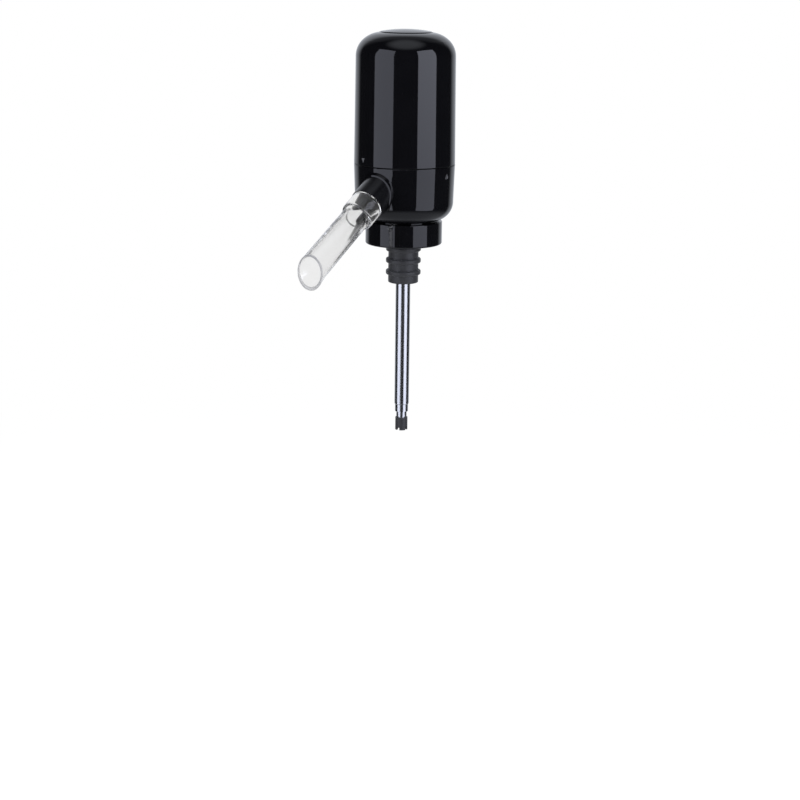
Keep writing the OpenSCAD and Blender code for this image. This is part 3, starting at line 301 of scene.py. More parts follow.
def ramp(tree, value, start, end=(0.0, 1.0), bend="LINEAR"):
    """A value taken from one range to another."""
    return add_node(tree, "ShaderNodeMapRange", {
        "Value": value, "From Min": start[0], "From Max": start[1],
        "To Min": end[0], "To Max": end[1],
    }, interpolation_type=bend).outputs["Result"]


def choose(tree, choice, first, second):
    """The first shader where the choice is 0 and the second from 1 upwards."""
    return add_node(tree, "ShaderNodeMixShader", {0: choice, 1: first, 2: second}).outputs[0]


def grain(tree, scale, detail, stretch):
    """Noise on the piece's own coordinates, as a value from 0 to 1."""
    place = add_node(tree, "ShaderNodeTexCoord")
    mapping = add_node(tree, "ShaderNodeMapping", {
        "Vector": place.outputs["Object"], "Scale": stretch,
    })
    return add_node(tree, "ShaderNodeTexNoise", {
        "Vector": mapping.outputs["Vector"], "Scale": scale, "Detail": detail,
    }).outputs["Fac"]


def surface(
    name, base, rough, smudge, fine,
    change=0.12, strength=0.05, depth=0.00005, stretch=(1.0, 1.0, 1.0), fixed=(),
):
    """A finish with smudges in its gloss, a fine grain in its relief and a slight swing of colour.

    Smudges and grain have scales per metre, and the relief's depth is in metres. Fixed values go
    straight on the shader's sockets.
    """
    material = bpy.data.materials.new(name)
    tree = bare_tree(material)
    smudges = grain(tree, smudge, SMUDGE_DETAIL, stretch)
    swing = add_node(tree, "ShaderNodeMix", {
        MIX_FACTOR: smudges,
        MIX_FIRST: (*(c * (1.0 - change) for c in base), 1.0),
        MIX_SECOND: (*(min(1.0, c * (1.0 + change)) for c in base), 1.0),
    }, data_type="RGBA")
    relief = add_node(tree, "ShaderNodeBump", {
        "Height": grain(tree, fine, GRAIN_DETAIL, stretch), "Strength": strength, "Distance": depth,
    })
    shader = add_node(tree, "ShaderNodeBsdfPrincipled", {
        "Base Color": swing.outputs[MIX_RESULT],
        "Roughness": ramp(tree, smudges, NOISE_MIDDLE, rough),
        "Normal": relief.outputs["Normal"],
        **dict(fixed),
    })
    add_node(tree, "ShaderNodeOutputMaterial", {"Surface": shader.outputs["BSDF"]})
    return material


def polished_black(name, base, gloss):
    """High-gloss moulded black with the faint waviness of an injection-moulded wall."""
    return surface(
        name, base, rough=(gloss, gloss * 2.0), smudge=70.0, fine=260.0,
        change=0.25, strength=0.012, depth=0.0001, fixed={"IOR": PLASTIC_IOR},
    )


def satin_black(name, base):
    """Satin moulded black with a fine spark-eroded grain."""
    return surface(
        name, base, rough=(0.16, 0.26), smudge=120.0, fine=2600.0,
        change=0.2, fixed={"Specular IOR Level": 0.36},
    )


def matt_black(name, base):
    """Matt moulded black with hardly any gloss."""
    return surface(
        name, base, rough=(0.5, 0.65), smudge=140.0, fine=2600.0,
        change=0.2, strength=0.08, fixed={"Specular IOR Level": 0.15},
    )


def clear_plastic(name, tint):
    """Clear polished plastic."""
    return surface(
        name, tint, rough=(0.07, 0.1), smudge=90.0, fine=120.0,
        change=0.01, strength=0.01, depth=0.0001,
        fixed={"Transmission Weight": 1.0, "IOR": PLASTIC_IOR},
    )


def cut_plastic(name, base, clarity):
    """The same plastic where it was cut, frosted so that it glows grey."""
    return surface(
        name, base, rough=(0.3, 0.42), smudge=400.0, fine=2400.0, change=0.1,
        fixed={"Transmission Weight": clarity, "IOR": PLASTIC_IOR},
    )


def drawn_steel(name, base):
    """Stainless tube with fine lines drawn along it."""
    return surface(
        name, base, rough=(0.14, 0.26), smudge=900.0, fine=4200.0, change=0.08, strength=0.06,
        depth=0.00002, stretch=(1.0, 1.0, 0.015), fixed={"Metallic": 1.0},
    )


def plated_metal(name, base):
    """Bright plated metal of springs, screws and contacts."""
    return surface(
        name, base, rough=(0.18, 0.32), smudge=700.0, fine=3000.0,
        change=0.1, fixed={"Metallic": 1.0},
    )


def moulded_silicone(name, base):
    """Matt silicone with a powdery bloom."""
    return surface(
        name, base, rough=(0.42, 0.58), smudge=260.0, fine=3400.0,
        change=0.2, strength=0.12, depth=0.00003,
        fixed={"Sheen Weight": 0.15, "Sheen Roughness": 0.4},
    )


def moulded_plastic(name, base):
    """Plain moulded plastic with an eroded grain."""
    return surface(name, base, rough=(0.4, 0.55), smudge=150.0, fine=2800.0, strength=0.12)


def milky_hose(name, base):
    """Soft hose that lets light in."""
    return surface(
        name, base, rough=(0.3, 0.42), smudge=200.0, fine=1500.0, change=0.08, strength=0.08,
        fixed={"Subsurface Weight": 0.3, "Subsurface Radius": (0.002, 0.002, 0.002)},
    )


def printed_wrap(name, base):
    """Foil wrap of a cell."""
    return surface(
        name, base, rough=(0.22, 0.34), smudge=180.0, fine=1800.0,
        change=0.3, strength=0.04, fixed={"Metallic": 0.6},
    )


def grey_print(name, base):
    """Thin matt print on a shell."""
    return surface(name, base, rough=(0.4, 0.55), smudge=400.0, fine=3000.0)


def dress(material, *names):
    """Gives CAD nodes a finish."""
    for name in names:
        slots = NODES[name].data.materials
        slots.clear()
        slots.append(material)


def place_piece(name, mesh, material, body, slot, *replaced):
    """Links a finished mesh as a piece that rides on a body and stands for CAD nodes."""
    piece = bpy.data.objects.new(name, mesh)
    bpy.context.scene.collection.objects.link(piece)
    mesh.materials.clear()
    mesh.materials.append(material)
    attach(piece, body)
    if replaced:
        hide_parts(*replaced)
    return piece


def mesh_of(bm, name, smooth=True):
    """A plain mesh from a bmesh, with its normals outwards."""
    bmesh.ops.remove_doubles(bm, verts=bm.verts, dist=MERGE)
    bmesh.ops.recalc_face_normals(bm, faces=bm.faces)
    for face in bm.faces:
        face.smooth = smooth
    mesh = bpy.data.meshes.new(name)
    bm.to_mesh(mesh)
    bm.free()
    return mesh


def smooth_by_angle(mesh):
    """Smooth faces, with edges that turn too far kept sharp."""
    bm = bmesh.new()
    bm.from_mesh(mesh)
    bmesh.ops.dissolve_degenerate(bm, dist=MERGE, edges=bm.edges)
    for face in bm.faces:
        face.smooth = True
    for edge in bm.edges:
        edge.smooth = len(edge.link_faces) == 2 and edge.calc_face_angle() < SHARP
    bm.to_mesh(mesh)
    bm.free()


def rounded(corners):
    """A line through (station, radius, rounding) corners, with each rounding as an arc."""
    points = []
    for i, (x, y, r) in enumerate(corners):
        corner = Vector((x, y))
        if r == 0 or i in (0, len(corners) - 1):
            points.append(corner)
            continue
        back = (Vector(corners[i - 1][:2]) - corner).normalized()
        ahead = (Vector(corners[i + 1][:2]) - corner).normalized()
        half = back.angle(ahead) / 2
        run = r / math.tan(half)
        centre = corner + (back + ahead).normalized() * (r / math.sin(half))
        start = corner + back * run - centre
        end = corner + ahead * run - centre
        sweep = start.angle_signed(end)
        for k in range(ARC_STEPS + 1):
            turn = Matrix.Rotation(-sweep * k / ARC_STEPS, 2)
            points.append(centre + turn @ start)
    return points


def wall_between(bm, low, high):
    """Faces between two loops of as many points."""
    count = len(low)
    for k in range(count):
        bm.faces.new((low[k], low[(k + 1) % count], high[(k + 1) % count], high[k]))


def sweep_rings(bm, rings):
    """Skins a closed row of rings of points."""
    loops = [[bm.verts.new(point) for point in ring] for ring in rings]
    for low, high in zip(loops, loops[1:] + loops[:1]):
        wall_between(bm, low, high)


class SpoutLine:
    """Axis of the spout and the stations along it, read from the socket's solid."""

    def __init__(self):
        self.axis = Vector(JOINTS["spout_pull"]["axis"]).normalized()
        low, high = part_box("spout_socket")
        middle = (low + high) / 2
        size = high - low
        self.slope = -self.axis.z
        self.level = -self.axis.y
        self.origin = middle + self.axis * (middle.y / self.level)
        socket_length = (size.z - size.x * self.level) / self.slope
        self.mouth = (middle - self.origin).length + socket_length / 2
        self.tip_y = -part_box("spout_tube")[0].y
        side = Vector((1.0, 0.0, 0.0))
        turn = Matrix((side, self.axis.cross(side), self.axis)).transposed()
        self.matrix = Matrix.Translation(self.origin) @ turn.to_4x4()

    def point(self, station, radius, turn):
        """A point in the row frame."""
        return self.matrix @ Vector((radius * math.cos(turn), radius * math.sin(turn), station))

    def station_on_cut(self, depth, radius, turn):
        """Station at which a line at that radius reaches an upright plane at that depth."""
        return (depth - radius * math.sin(turn) * self.slope) / self.level

    def wall_end(self, profile, depth, turn):
        """Station and radius at which a wall's profile meets an upright plane at that depth."""
        lean = math.sin(turn) * self.slope
        for here, there in zip(profile, profile[1:]):
            gone, reached = (point.x * self.level + point.y * lean for point in (here, there))
            if reached > depth:
                return here.lerp(there, (depth - gone) / (reached - gone))
        raise RuntimeError("the spout's wall ends before its rim")


def spout_rings(line, shape):
    """Rings of the clear spout: plug, collar, flared tube, rim on an upright cut, and bore."""
    turns = [2 * math.pi * k / RING_STEPS for k in range(RING_STEPS)]
    plug = line.mouth - shape.plug_length
    collar = line.mouth + shape.seat
    tube = line.mouth + shape.collar_length
    tip = line.tip_y / line.level
    flare = tip - shape.flare_length / 2
    slant = (shape.tip_radius - shape.end_radius) / shape.flare_length
    bore_slant = (shape.tip_bore_radius - shape.bore_radius) / (tip - tube)
    groove = plug + shape.groove_start
    groove_floor = shape.plug_radius - shape.groove_depth
    fine = shape.edge / 4
    beyond = tip + shape.flare_length
    outside = rounded([
        (plug, shape.bore_radius, 0),
        (plug, shape.plug_radius, shape.edge / 2),
        (groove, shape.plug_radius, fine),
        (groove, groove_floor, fine),
        (groove + shape.groove_width, groove_floor, fine),
        (groove + shape.groove_width, shape.plug_radius, fine),
        (collar, shape.plug_radius, fine),
        (collar, shape.collar_radius, fine),
        (tube, shape.collar_radius, shape.edge),
        (tube, shape.tube_radius, shape.edge / 2),
        (flare, shape.end_radius, shape.flare_length / 2),
        (beyond, shape.end_radius + slant * (beyond - flare), 0),
    ])
    bore = [
        Vector((tube, shape.bore_radius)),
        Vector((beyond, shape.bore_radius + bore_slant * (beyond - tube))),
    ]
    face = line.tip_y - shape.rim_bulge
    outer_ends = [line.wall_end(outside, face, turn) for turn in turns]
    inner_ends = [line.wall_end(bore, face, turn) for turn in turns]

    def ring_between(start, ends, part):
        """A ring part of the way from a point of a wall's profile to the wall's end at the rim."""
        return [
            line.point(*(start.lerp(end, part) if start.x < end.x else end), turn)
            for turn, end in zip(turns, ends)
        ]

    parts = [k / WALL_STEPS for k in range(WALL_STEPS + 1)]
    rings = [ring_between(point, outer_ends, 0.0) for point in outside[:-1]]
    rings += [ring_between(outside[-2], outer_ends, part) for part in parts[1:]]
    for k in range(1, 2 * ARC_STEPS):
        phase = math.pi * k / (2 * ARC_STEPS)
        depth = face + shape.rim_bulge * math.sin(phase)
        ring = []
        for turn, outer, inner in zip(turns, outer_ends, inner_ends):
            radius = (outer.y + inner.y) / 2 + (outer.y - inner.y) / 2 * math.cos(phase)
            ring.append(line.point(line.station_on_cut(depth, radius, turn), radius, turn))
        rings.append(ring)
    rings += [ring_between(bore[0], inner_ends, part) for part in reversed(parts)]
    return rings


def islands(node):
    """Boxes of the separate solids in a CAD node, in a fixed order."""
    bm = bmesh.new()
    bm.from_mesh(NODES[node].data)
    bmesh.ops.remove_doubles(bm, verts=bm.verts, dist=CAD_MERGE)
    left = set(bm.verts)
    boxes = []
    while left:
        stack = [left.pop()]
        found = []
        while stack:
            vert = stack.pop()
            found.append(vert.co.copy())
            for edge in vert.link_edges:
                other = edge.other_vert(vert)
                if other in left:
                    left.remove(other)
                    stack.append(other)
        boxes.append(tuple(
            Vector([end(point[i] for point in found) for i in range(3)]) for end in (min, max)
        ))
    bm.free()
    return sorted(boxes, key=lambda box: tuple(box[0]))


def on_middle(box, height):
    """The point at a height in the middle of a box, seen from above."""
    low, high = box
    return (low.x + high.x) / 2, (low.y + high.y) / 2, height


class Tree:
    """A geometry node tree under construction, with named inputs."""

    def __init__(self, name):
        self.group = bpy.data.node_groups.new(name, "GeometryNodeTree")
        for way in ("INPUT", "OUTPUT"):
            self.group.interface.new_socket(
                "Geometry", in_out=way, socket_type="NodeSocketGeometry"
            )
        self.entry = self.group.nodes.new("NodeGroupInput")

    def size(self, name, kind="Float"):
        """Adds an input and gives its socket inside the tree."""
        self.group.interface.new_socket(name, in_out="INPUT", socket_type="NodeSocket" + kind)
        return self.entry.outputs[name]

    def node(self, kind, inputs=(), **fields):
        """First output of a new node."""
        return add_node(self.group, kind, inputs, **fields).outputs[0]

    def calc(self, operation, a, b):
        """A sum of two sockets or values."""
        return self.node("ShaderNodeMath", {0: a, 1: b}, operation=operation)

    def times(self, a, b):
        """A socket times a socket or value."""
        return self.calc("MULTIPLY", a, b)

    def vector(self, x=0.0, y=0.0, z=0.0):
        """A vector of three sockets or values."""
        return self.node("ShaderNodeCombineXYZ", {0: x, 1: y, 2: z})

    def move(self, geometry, offset):
        """Geometry moved by a vector."""
        return self.node("GeometryNodeTransform", {"Geometry": geometry, "Translation": offset})

    def lift(self, geometry, height):
        """Geometry moved up."""
        return self.move(geometry, self.vector(z=height))

    def rod(self, radius, depth):
        """A plain upright rod, its middle at the origin."""
        return self.node("GeometryNodeMeshCylinder", {
            "Vertices": ROD_SIDES, "Radius": radius, "Depth": depth,
        })

    def wound_wire(self, radii, height, turns, wire, steps, sides):
        """Closed round wire on a spiral from one radius to another."""
        spiral = self.node("GeometryNodeCurveSpiral", {
            "Resolution": steps, "Rotations": turns, "Height": height,
            "Start Radius": radii[0], "End Radius": radii[1],
        })
        section = self.node("GeometryNodeCurvePrimitiveCircle", {
            "Resolution": sides, "Radius": wire,
        })
        return self.node("GeometryNodeCurveToMesh", {
            "Curve": spiral, "Profile Curve": section, "Fill Caps": True,
        })

    def hoop(self, inner, outer, tall, low, edge):
        """A ring of a filleted rectangle, with its lower face at a height."""
        path = self.node("GeometryNodeCurvePrimitiveCircle", {
            "Resolution": HOOP_SIDES, "Radius": self.times(self.calc("ADD", outer, inner), 0.5),
        })
        outline = self.node("GeometryNodeCurvePrimitiveQuadrilateral", {
            "Width": self.calc("SUBTRACT", outer, inner), "Height": tall,
        })
        soft = self.node("GeometryNodeFilletCurve", {
            "Curve": outline, "Count": FILLET_STEPS, "Radius": edge, "Limit Radius": True,
        }, mode="POLY")
        ring = self.node("GeometryNodeCurveToMesh", {"Curve": path, "Profile Curve": soft})
        return self.lift(ring, self.calc("ADD", low, self.times(tall, 0.5)))

    def boolean(self, operation, solids):
        """Closed solids joined, or those of Mesh 2 cut out of Mesh 1."""
        return self.node("GeometryNodeMeshBoolean", solids, operation=operation, solver="MANIFOLD")

    def repeat(self, points, instance, turn=(0.0, 0.0, 0.0)):
        """An instance on every point."""
        return self.node("GeometryNodeInstanceOnPoints", {
            "Points": points, "Instance": instance, "Rotation": turn,
        })

    def real(self, geometry):
        """Instances made real."""
        return self.node("GeometryNodeRealizeInstances", {"Geometry": geometry})

    def finish(self, geometry, material):
        """Realize Instances, Set Material and the way out."""
        dressed = self.node("GeometryNodeSetMaterial", {
            "Geometry": self.real(geometry), "Material": material,
        })
        add_node(self.group, "NodeGroupOutput", {0: dressed})
        return self.group


def grow(group, name, points, **sizes):
    """Runs a tree on a few points and returns the result as a plain mesh."""
    seed = bpy.data.meshes.new(name + "_points")
    seed.from_pydata(points, [], [])
    holder = bpy.data.objects.new(name + "_points", seed)
    bpy.context.scene.collection.objects.link(holder)
    modifier = holder.modifiers.new("Nodes", "NODES")
    modifier.node_group = group
    items = group.interface.items_tree
    sockets = {item.name: item.identifier for item in items if item.in_out == "INPUT"}
    for key, value in sizes.items():
        modifier[sockets[key.replace("_", " ")]] = value
    graph = bpy.context.evaluated_depsgraph_get()
    graph.update()
    mesh = bpy.data.meshes.new_from_object(holder.evaluated_get(graph))
    mesh.name = name
    holder.modifiers.remove(modifier)
    bpy.data.objects.remove(holder)
    bpy.data.meshes.remove(seed)
    return mesh


def coil_tree():
    """Round wire wound from one radius to another on every point."""
    tree = Tree("Wound spring")
    radii = tree.size("Low radius"), tree.size("High radius")
    tall, wire = tree.size("Height"), tree.size("Wire radius")
    turns, material = tree.size("Turns"), tree.size("Material", "Material")
    rise = tree.calc("SUBTRACT", tall, tree.times(wire, 2.0))
    wound = tree.wound_wire(radii, rise, turns, wire, COIL_STEPS, COIL_SIDES)
    smooth = tree.node("GeometryNodeSetShadeSmooth", {"Geometry": tree.lift(wound, wire)})
    return tree.finish(tree.repeat(tree.entry.outputs[0], smooth), material)


def screw_tree():
    """Pan-head screw with a cross recess and a wound thread on every point, head below it."""
    tree = Tree("Small screw")
    shank, long = tree.size("Shank radius"), tree.size("Shank length")
    head, tall = tree.size("Head radius"), tree.size("Head height")
    pitch, flip = tree.size("Pitch"), tree.size("Flip")
    material = tree.size("Material", "Material")
    core = tree.times(shank, THREAD_ROOT)
    rod = tree.lift(tree.rod(core, long), tree.times(long, 0.5))
    ridge = tree.times(tree.calc("SUBTRACT", shank, core), THREAD_WIRE)
    run = tree.calc("SUBTRACT", long, tree.times(ridge, 2.0))
    turns = tree.calc("DIVIDE", run, pitch)
    thread = tree.wound_wire((core, core), run, turns, ridge, THREAD_STEPS, THREAD_SIDES)
    pan = tree.node("GeometryNodeMeshCone", {
        "Vertices": HEAD_SIDES, "Radius Top": head,
        "Radius Bottom": tree.times(head, HEAD_FACE), "Depth": tall,
    })
    down = tree.times(tall, -1.0)
    wide, slim = tree.times(head, RECESS_LENGTH), tree.times(head, RECESS_WIDTH)
    bars = [
        tree.lift(tree.node("GeometryNodeMeshCube", {"Size": tree.vector(x, y, tall)}), down)
        for x, y in ((wide, slim), (slim, wide))
    ]
    cut_head = tree.boolean("DIFFERENCE", {"Mesh 1": tree.lift(pan, down), "Mesh 2": bars})
    whole = tree.node("GeometryNodeJoinGeometry", {0: [rod, tree.lift(thread, ridge), cut_head]})
    put = tree.repeat(tree.entry.outputs[0], whole, tree.vector(x=flip))
    return tree.finish(put, material)


def sleeve_tree():
    """Stopper: a sleeve with a lip at its foot and soft ribs along it, hung from every point."""
    tree = Tree("Ribbed sleeve")
    core, bore, long = tree.size("Core radius"), tree.size("Bore radius"), tree.size("Length")
    lip, lip_bore = tree.size("Lip height"), tree.size("Lip radius")
    count, first = tree.size("Rib count", "Int"), tree.size("First rib")
    gap, wide, deep = tree.size("Rib spacing"), tree.size("Rib width"), tree.size("Rib depth")
    vent, vent_place = tree.size("Vent radius"), tree.size("Vent place", "Vector")
    material = tree.size("Material", "Material")
    foot = tree.times(long, -1.0)
    sleeve = tree.hoop(bore, core, long, foot, tree.times(lip, SLEEVE_ROUND))
    middle = tree.times(tree.calc("ADD", bore, core), 0.5)
    floor = tree.hoop(lip_bore, middle, lip, foot, LIP_ROUND)
    rib = tree.hoop(
        tree.calc("SUBTRACT", core, tree.times(deep, RIB_SUNK)), tree.calc("ADD", core, deep),
        wide, tree.times(wide, -0.5), tree.times(wide, RIB_ROUND),
    )
    row = tree.node("GeometryNodeMeshLine", {
        "Count": count,
        "Start Location": tree.vector(z=tree.times(first, -1.0)),
        "Offset": tree.vector(z=tree.times(gap, -1.0)),
    })
    body = tree.boolean("UNION", {"Mesh 2": [sleeve, floor, tree.real(tree.repeat(row, rib))]})
    hole = tree.move(tree.rod(vent, tree.times(lip, VENT_DEPTH)), vent_place)
    vented = tree.boolean("DIFFERENCE", {"Mesh 1": body, "Mesh 2": hole})
    return tree.finish(tree.repeat(tree.entry.outputs[0], vented), material)


def wrap_print(bm, node, outline, azimuth, height, depth):
    """A flat outline, in metres across and up, laid on a shell's outside as a thin printed pad."""
    tree = BVHTree.FromObject(NODES[node], bpy.context.evaluated_depsgraph_get())
    bottom, top = [], []
    for across, up in outline:
        out = outwards(azimuth + across / PRINT_RADIUS)
        hit, _, _, _ = tree.ray_cast(out * PRINT_REACH + UP * (height + up), -out)
        if hit is None:
            raise RuntimeError(f"the print misses {node}")
        bottom.append(bm.verts.new(hit - out * depth))
        top.append(bm.verts.new(hit + out * depth))
    bm.faces.new(top)
    bm.faces.new(list(reversed(bottom)))
    wall_between(bm, bottom, top)


class AERATOR_OT_stage(bpy.types.Operator):
    """Camera, floor, backdrop light and soft boxes"""

    bl_idname = "aerator.stage"
    bl_label = "Studio"

    def execute(self, context):
        stage = settings("stage")
        scene = context.scene
        scene.view_settings.view_transform = "Standard"
        for limit, count in BOUNCES.items():
            setattr(scene.cycles, limit, count)
        heading = outwards(stage.azimuth)
        self.camera(scene, stage, heading)
        self.world(scene, stage, heading)
        self.floor(scene, stage)
        self.lamps(scene, stage)
        return {"FINISHED"}

    def camera(self, scene, stage, heading):
        """Camera at the height and heading from which the part is seen."""
        data = bpy.data.cameras.new("Camera")
        data.lens = stage.lens
        data.sensor_width = SENSOR_WIDTH
        camera = bpy.data.objects.new("Camera", data)
        scene.collection.objects.link(camera)
        turn = (
            Matrix.Rotation(stage.azimuth + stage.pan, 4, "Z")
            @ Matrix.Rotation(math.pi / 2 - stage.pitch, 4, "X")
            @ Matrix.Rotation(stage.roll, 4, "Z")
        )
        spot = heading * stage.distance + UP * stage.height
        camera.matrix_world = Matrix.Translation(spot) @ turn
        scene.camera = camera

    def world(self, scene, stage, heading):
        """White for the camera and in clear plastic; in the gloss a wall, a top light, a table."""
        world = bpy.data.worlds.new("Studio")
        scene.world = world
        tree = bare_tree(world)
        rise = stage.overhead_rise
        top = heading * math.cos(rise) + UP * math.sin(rise)
        gloss = self.glow(tree, -heading, WALL_EDGE, stage.wall)
        for towards, edge, brightness in (
            ((UP * SKY_SLOPE - heading).normalized(), SKY_EDGE, stage.sky),
            (top, OVERHEAD_EDGE, stage.overhead),
            (-UP, TABLE_EDGE, stage.table),
        ):
            more = self.glow(tree, towards, edge, brightness)
            both = add_node(tree, "ShaderNodeMath", {0: gloss, 1: more}, operation="ADD")
            gloss = both.outputs[0]
        path = add_node(tree, "ShaderNodeLightPath")
        level = add_node(tree, "ShaderNodeMix", {
            "Factor": path.outputs["Is Glossy Ray"], "A": stage.ambient, "B": gloss,
        }, data_type="FLOAT")
        light = add_node(tree, "ShaderNodeBackground", {
            "Color": (*stage.backdrop, 1.0), "Strength": level.outputs["Result"],
        })
        white = add_node(tree, "ShaderNodeBackground", {"Color": WHITE})
        pale = add_node(tree, "ShaderNodeBackground", {"Color": WHITE, "Strength": stage.through})
        clear = path.outputs["Transmission Depth"]
        seen = choose(tree, clear, light.outputs[0], pale.outputs[0])
        seen = choose(tree, path.outputs["Is Camera Ray"], seen, white.outputs[0])
        add_node(tree, "ShaderNodeOutputWorld", {"Surface": seen})

    def glow(self, tree, towards, edge, brightness):
        """Light from round one direction, fading out between two cosines."""
        place = add_node(tree, "ShaderNodeTexCoord")
        facing = add_node(tree, "ShaderNodeVectorMath", {
            0: place.outputs["Generated"], 1: towards,
        }, operation="DOT_PRODUCT")
        return ramp(tree, facing.outputs["Value"], edge, (GLOW_LEFT, brightness), "SMOOTHSTEP")

    def floor(self, scene, stage):
        """Pale floor that keeps the part's shadow, fades into white and stays out of the gloss."""
        bm = bmesh.new()
        bmesh.ops.create_circle(bm, cap_ends=True, radius=FLOOR_RADIUS, segments=FLOOR_SIDES)
        for vert in bm.verts:
            vert.co.z = stage.ground
        floor = bpy.data.objects.new("Floor", mesh_of(bm, "Floor"))
        scene.collection.objects.link(floor)
        material = bpy.data.materials.new("Pale floor")
        tree = bare_tree(material)
        matt = add_node(tree, "ShaderNodeBsdfDiffuse", {"Color": FLOOR_GREY})
        glow, white, pale = (
            add_node(tree, "ShaderNodeEmission", {"Strength": strength}).outputs[0]
            for strength in (FLOOR_GLOW, 1.0, stage.through)
        )
        lit = add_node(tree, "ShaderNodeAddShader", {0: matt.outputs[0], 1: glow})
        place = add_node(tree, "ShaderNodeTexCoord")
        far = add_node(tree, "ShaderNodeVectorMath", {
            0: place.outputs["Object"],
        }, operation="LENGTH")
        fade = ramp(tree, far.outputs["Value"], FLOOR_FADE, bend="SMOOTHSTEP")
        path = add_node(tree, "ShaderNodeLightPath")
        clear = add_node(tree, "ShaderNodeBsdfTransparent")
        seen = choose(tree, fade, lit.outputs[0], white)
        seen = choose(tree, path.outputs["Is Glossy Ray"], seen, clear.outputs[0])
        seen = choose(tree, path.outputs["Transmission Depth"], seen, pale)
        add_node(tree, "ShaderNodeOutputMaterial", {"Surface": seen})
        floor.data.materials.append(material)

    def lamps(self, scene, stage):
        """Two tall soft boxes at the camera's sides, each fading towards the floor."""
        for name, aside, wide, glow, low in SOFT_BOXES:
            out = outwards(stage.azimuth + math.radians(aside))
            data = bpy.data.lights.new(name, "AREA")
            data.shape = "RECTANGLE"
            data.size = wide
            data.size_y = BOX_HEIGHT
            data.color = stage.tint
            data.energy = stage.softbox * glow * math.pi * wide * BOX_HEIGHT
            data.use_nodes = True
            self.fade(data.node_tree, low)
            lamp = bpy.data.objects.new(name, data)
            scene.collection.objects.link(lamp)
            lamp.location = out * BOX_DISTANCE + UP * BOX_RISE
            lamp.rotation_euler = out.to_track_quat("Z", "Y").to_euler()
            lamp.visible_camera = False

    def fade(self, tree, low):
        """Light that falls to a share of its strength over the height that shows in the case."""
        place = add_node(tree, "ShaderNodeNewGeometry")
        height = add_node(tree, "ShaderNodeSeparateXYZ", {0: place.outputs["Position"]})
        level = ramp(tree, height.outputs["Z"], BOX_FADE, (low, 1.0))
        tree.links.new(level, tree.nodes["Emission"].inputs["Strength"])


class AERATOR_OT_case(bpy.types.Operator):
    """Gloss-black shells, collar and button, with the printed arrow and lock"""

    bl_idname = "aerator.case"
    bl_label = "Case"

    def execute(self, context):
        case = settings("case")
        black = polished_black("Polished black", case.black, case.gloss)
        dress(black, "upper_shell", "lower_shell", "neck_collar")
        button_black = polished_black("Button black", case.button, case.gloss * case.button_dull)
        dress(button_black, "button_cap")
        dress(satin_black("Socket black", case.socket), "spout_socket")
        dress(matt_black("Insert black", case.socket), "aerator_insert")
        self.marks(case)
        return {"FINISHED"}

    def marks(self, case):
        """Small arrow above the seam and a plain padlock below it."""
        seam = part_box("upper_shell")[0].z
        tall = case.mark_height
        arrow = [(0.0, 0.0), (tall / 2, tall), (0.0, tall), (-tall / 2, tall)]
        half, plate = tall * LOCK_HALF, tall * LOCK_PLATE
        lock = [(-half, 0.0), (half, 0.0), (half, plate), (-half, plate)]
        arc = [math.pi * k / BOW_STEPS for k in range(BOW_STEPS + 1)]
        bow = [
            (half * radius * math.cos(a), plate * BOW_FOOT + half * radius * math.sin(a))
            for radius, turns in ((BOW_OUTER, arc), (BOW_INNER, arc[::-1])) for a in turns
        ]
        material = grey_print("Grey print", case.mark)
        for name, node, body, outlines, azimuth, rise in (
            ("arrow_mark", "upper_shell", "cover", [arrow], case.arrow_azimuth, case.arrow_rise),
            ("lock_mark", "lower_shell", "case", [lock, bow], case.lock_azimuth, -case.lock_drop),
        ):
            bm = bmesh.new()
            for outline in outlines:
                wrap_print(bm, node, outline, azimuth, seam + rise, case.mark_relief)
            place_piece(name, mesh_of(bm, name, smooth=False), material, body, "case_black")


class AERATOR_OT_spout(bpy.types.Operator):
    """Clear flared spout on its slanted axis"""

    bl_idname = "aerator.spout"
    bl_label = "Clear spout"

    def execute(self, context):
        shape = settings("spout")
        line = SpoutLine()
        bm = bmesh.new()
        sweep_rings(bm, spout_rings(line, shape))
        mesh = mesh_of(bm, "clear_spout")
        material = clear_plastic("Clear plastic", shape.tint)
        place_piece("clear_spout", mesh, material, "spout", "clear_plastic", "spout_tube")
        mesh.materials.append(cut_plastic("Cut plastic", shape.rim, shape.clarity))
        frost = line.tip_y - shape.rim_bulge * FROSTED
        for face in mesh.polygons:
            face.material_index = int(-face.center.y > frost)
        return {"FINISHED"}


class AERATOR_OT_stopper(bpy.types.Operator):
    """Ribbed silicone stopper, lip washer and foot"""

    bl_idname = "aerator.stopper"
    bl_label = "Stopper"

    def execute(self, context):
        shape = settings("stopper")
        material = moulded_silicone("Dark silicone", shape.silicone)
        dress(material, "lip_gasket", "manifold_seal", "tube_foot")
        low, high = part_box("neck_stopper")
        tall = high.z - low.z
        spacing = (tall - shape.rib_first - shape.rib_tail) / (shape.rib_count - 1)
        ring, turn = shape.vent_ring, shape.vent_turn
        mesh = grow(
            sleeve_tree(), "ribbed_stopper", [(0.0, 0.0, high.z)],
            Core_radius=high.x - shape.rib_depth, Bore_radius=shape.bore_radius, Length=tall,
            Lip_height=shape.lip, Lip_radius=shape.lip_radius,
            Rib_count=shape.rib_count, First_rib=shape.rib_first, Rib_spacing=spacing,
            Rib_width=shape.rib_width, Rib_depth=shape.rib_depth, Vent_radius=shape.vent_radius,
            Vent_place=(ring * math.cos(turn), ring * math.sin(turn), -tall), Material=material,
        )
        smooth_by_angle(mesh)
        place_piece("ribbed_stopper", mesh, material, "case", "stopper_silicone", "neck_stopper")
        return {"FINISHED"}


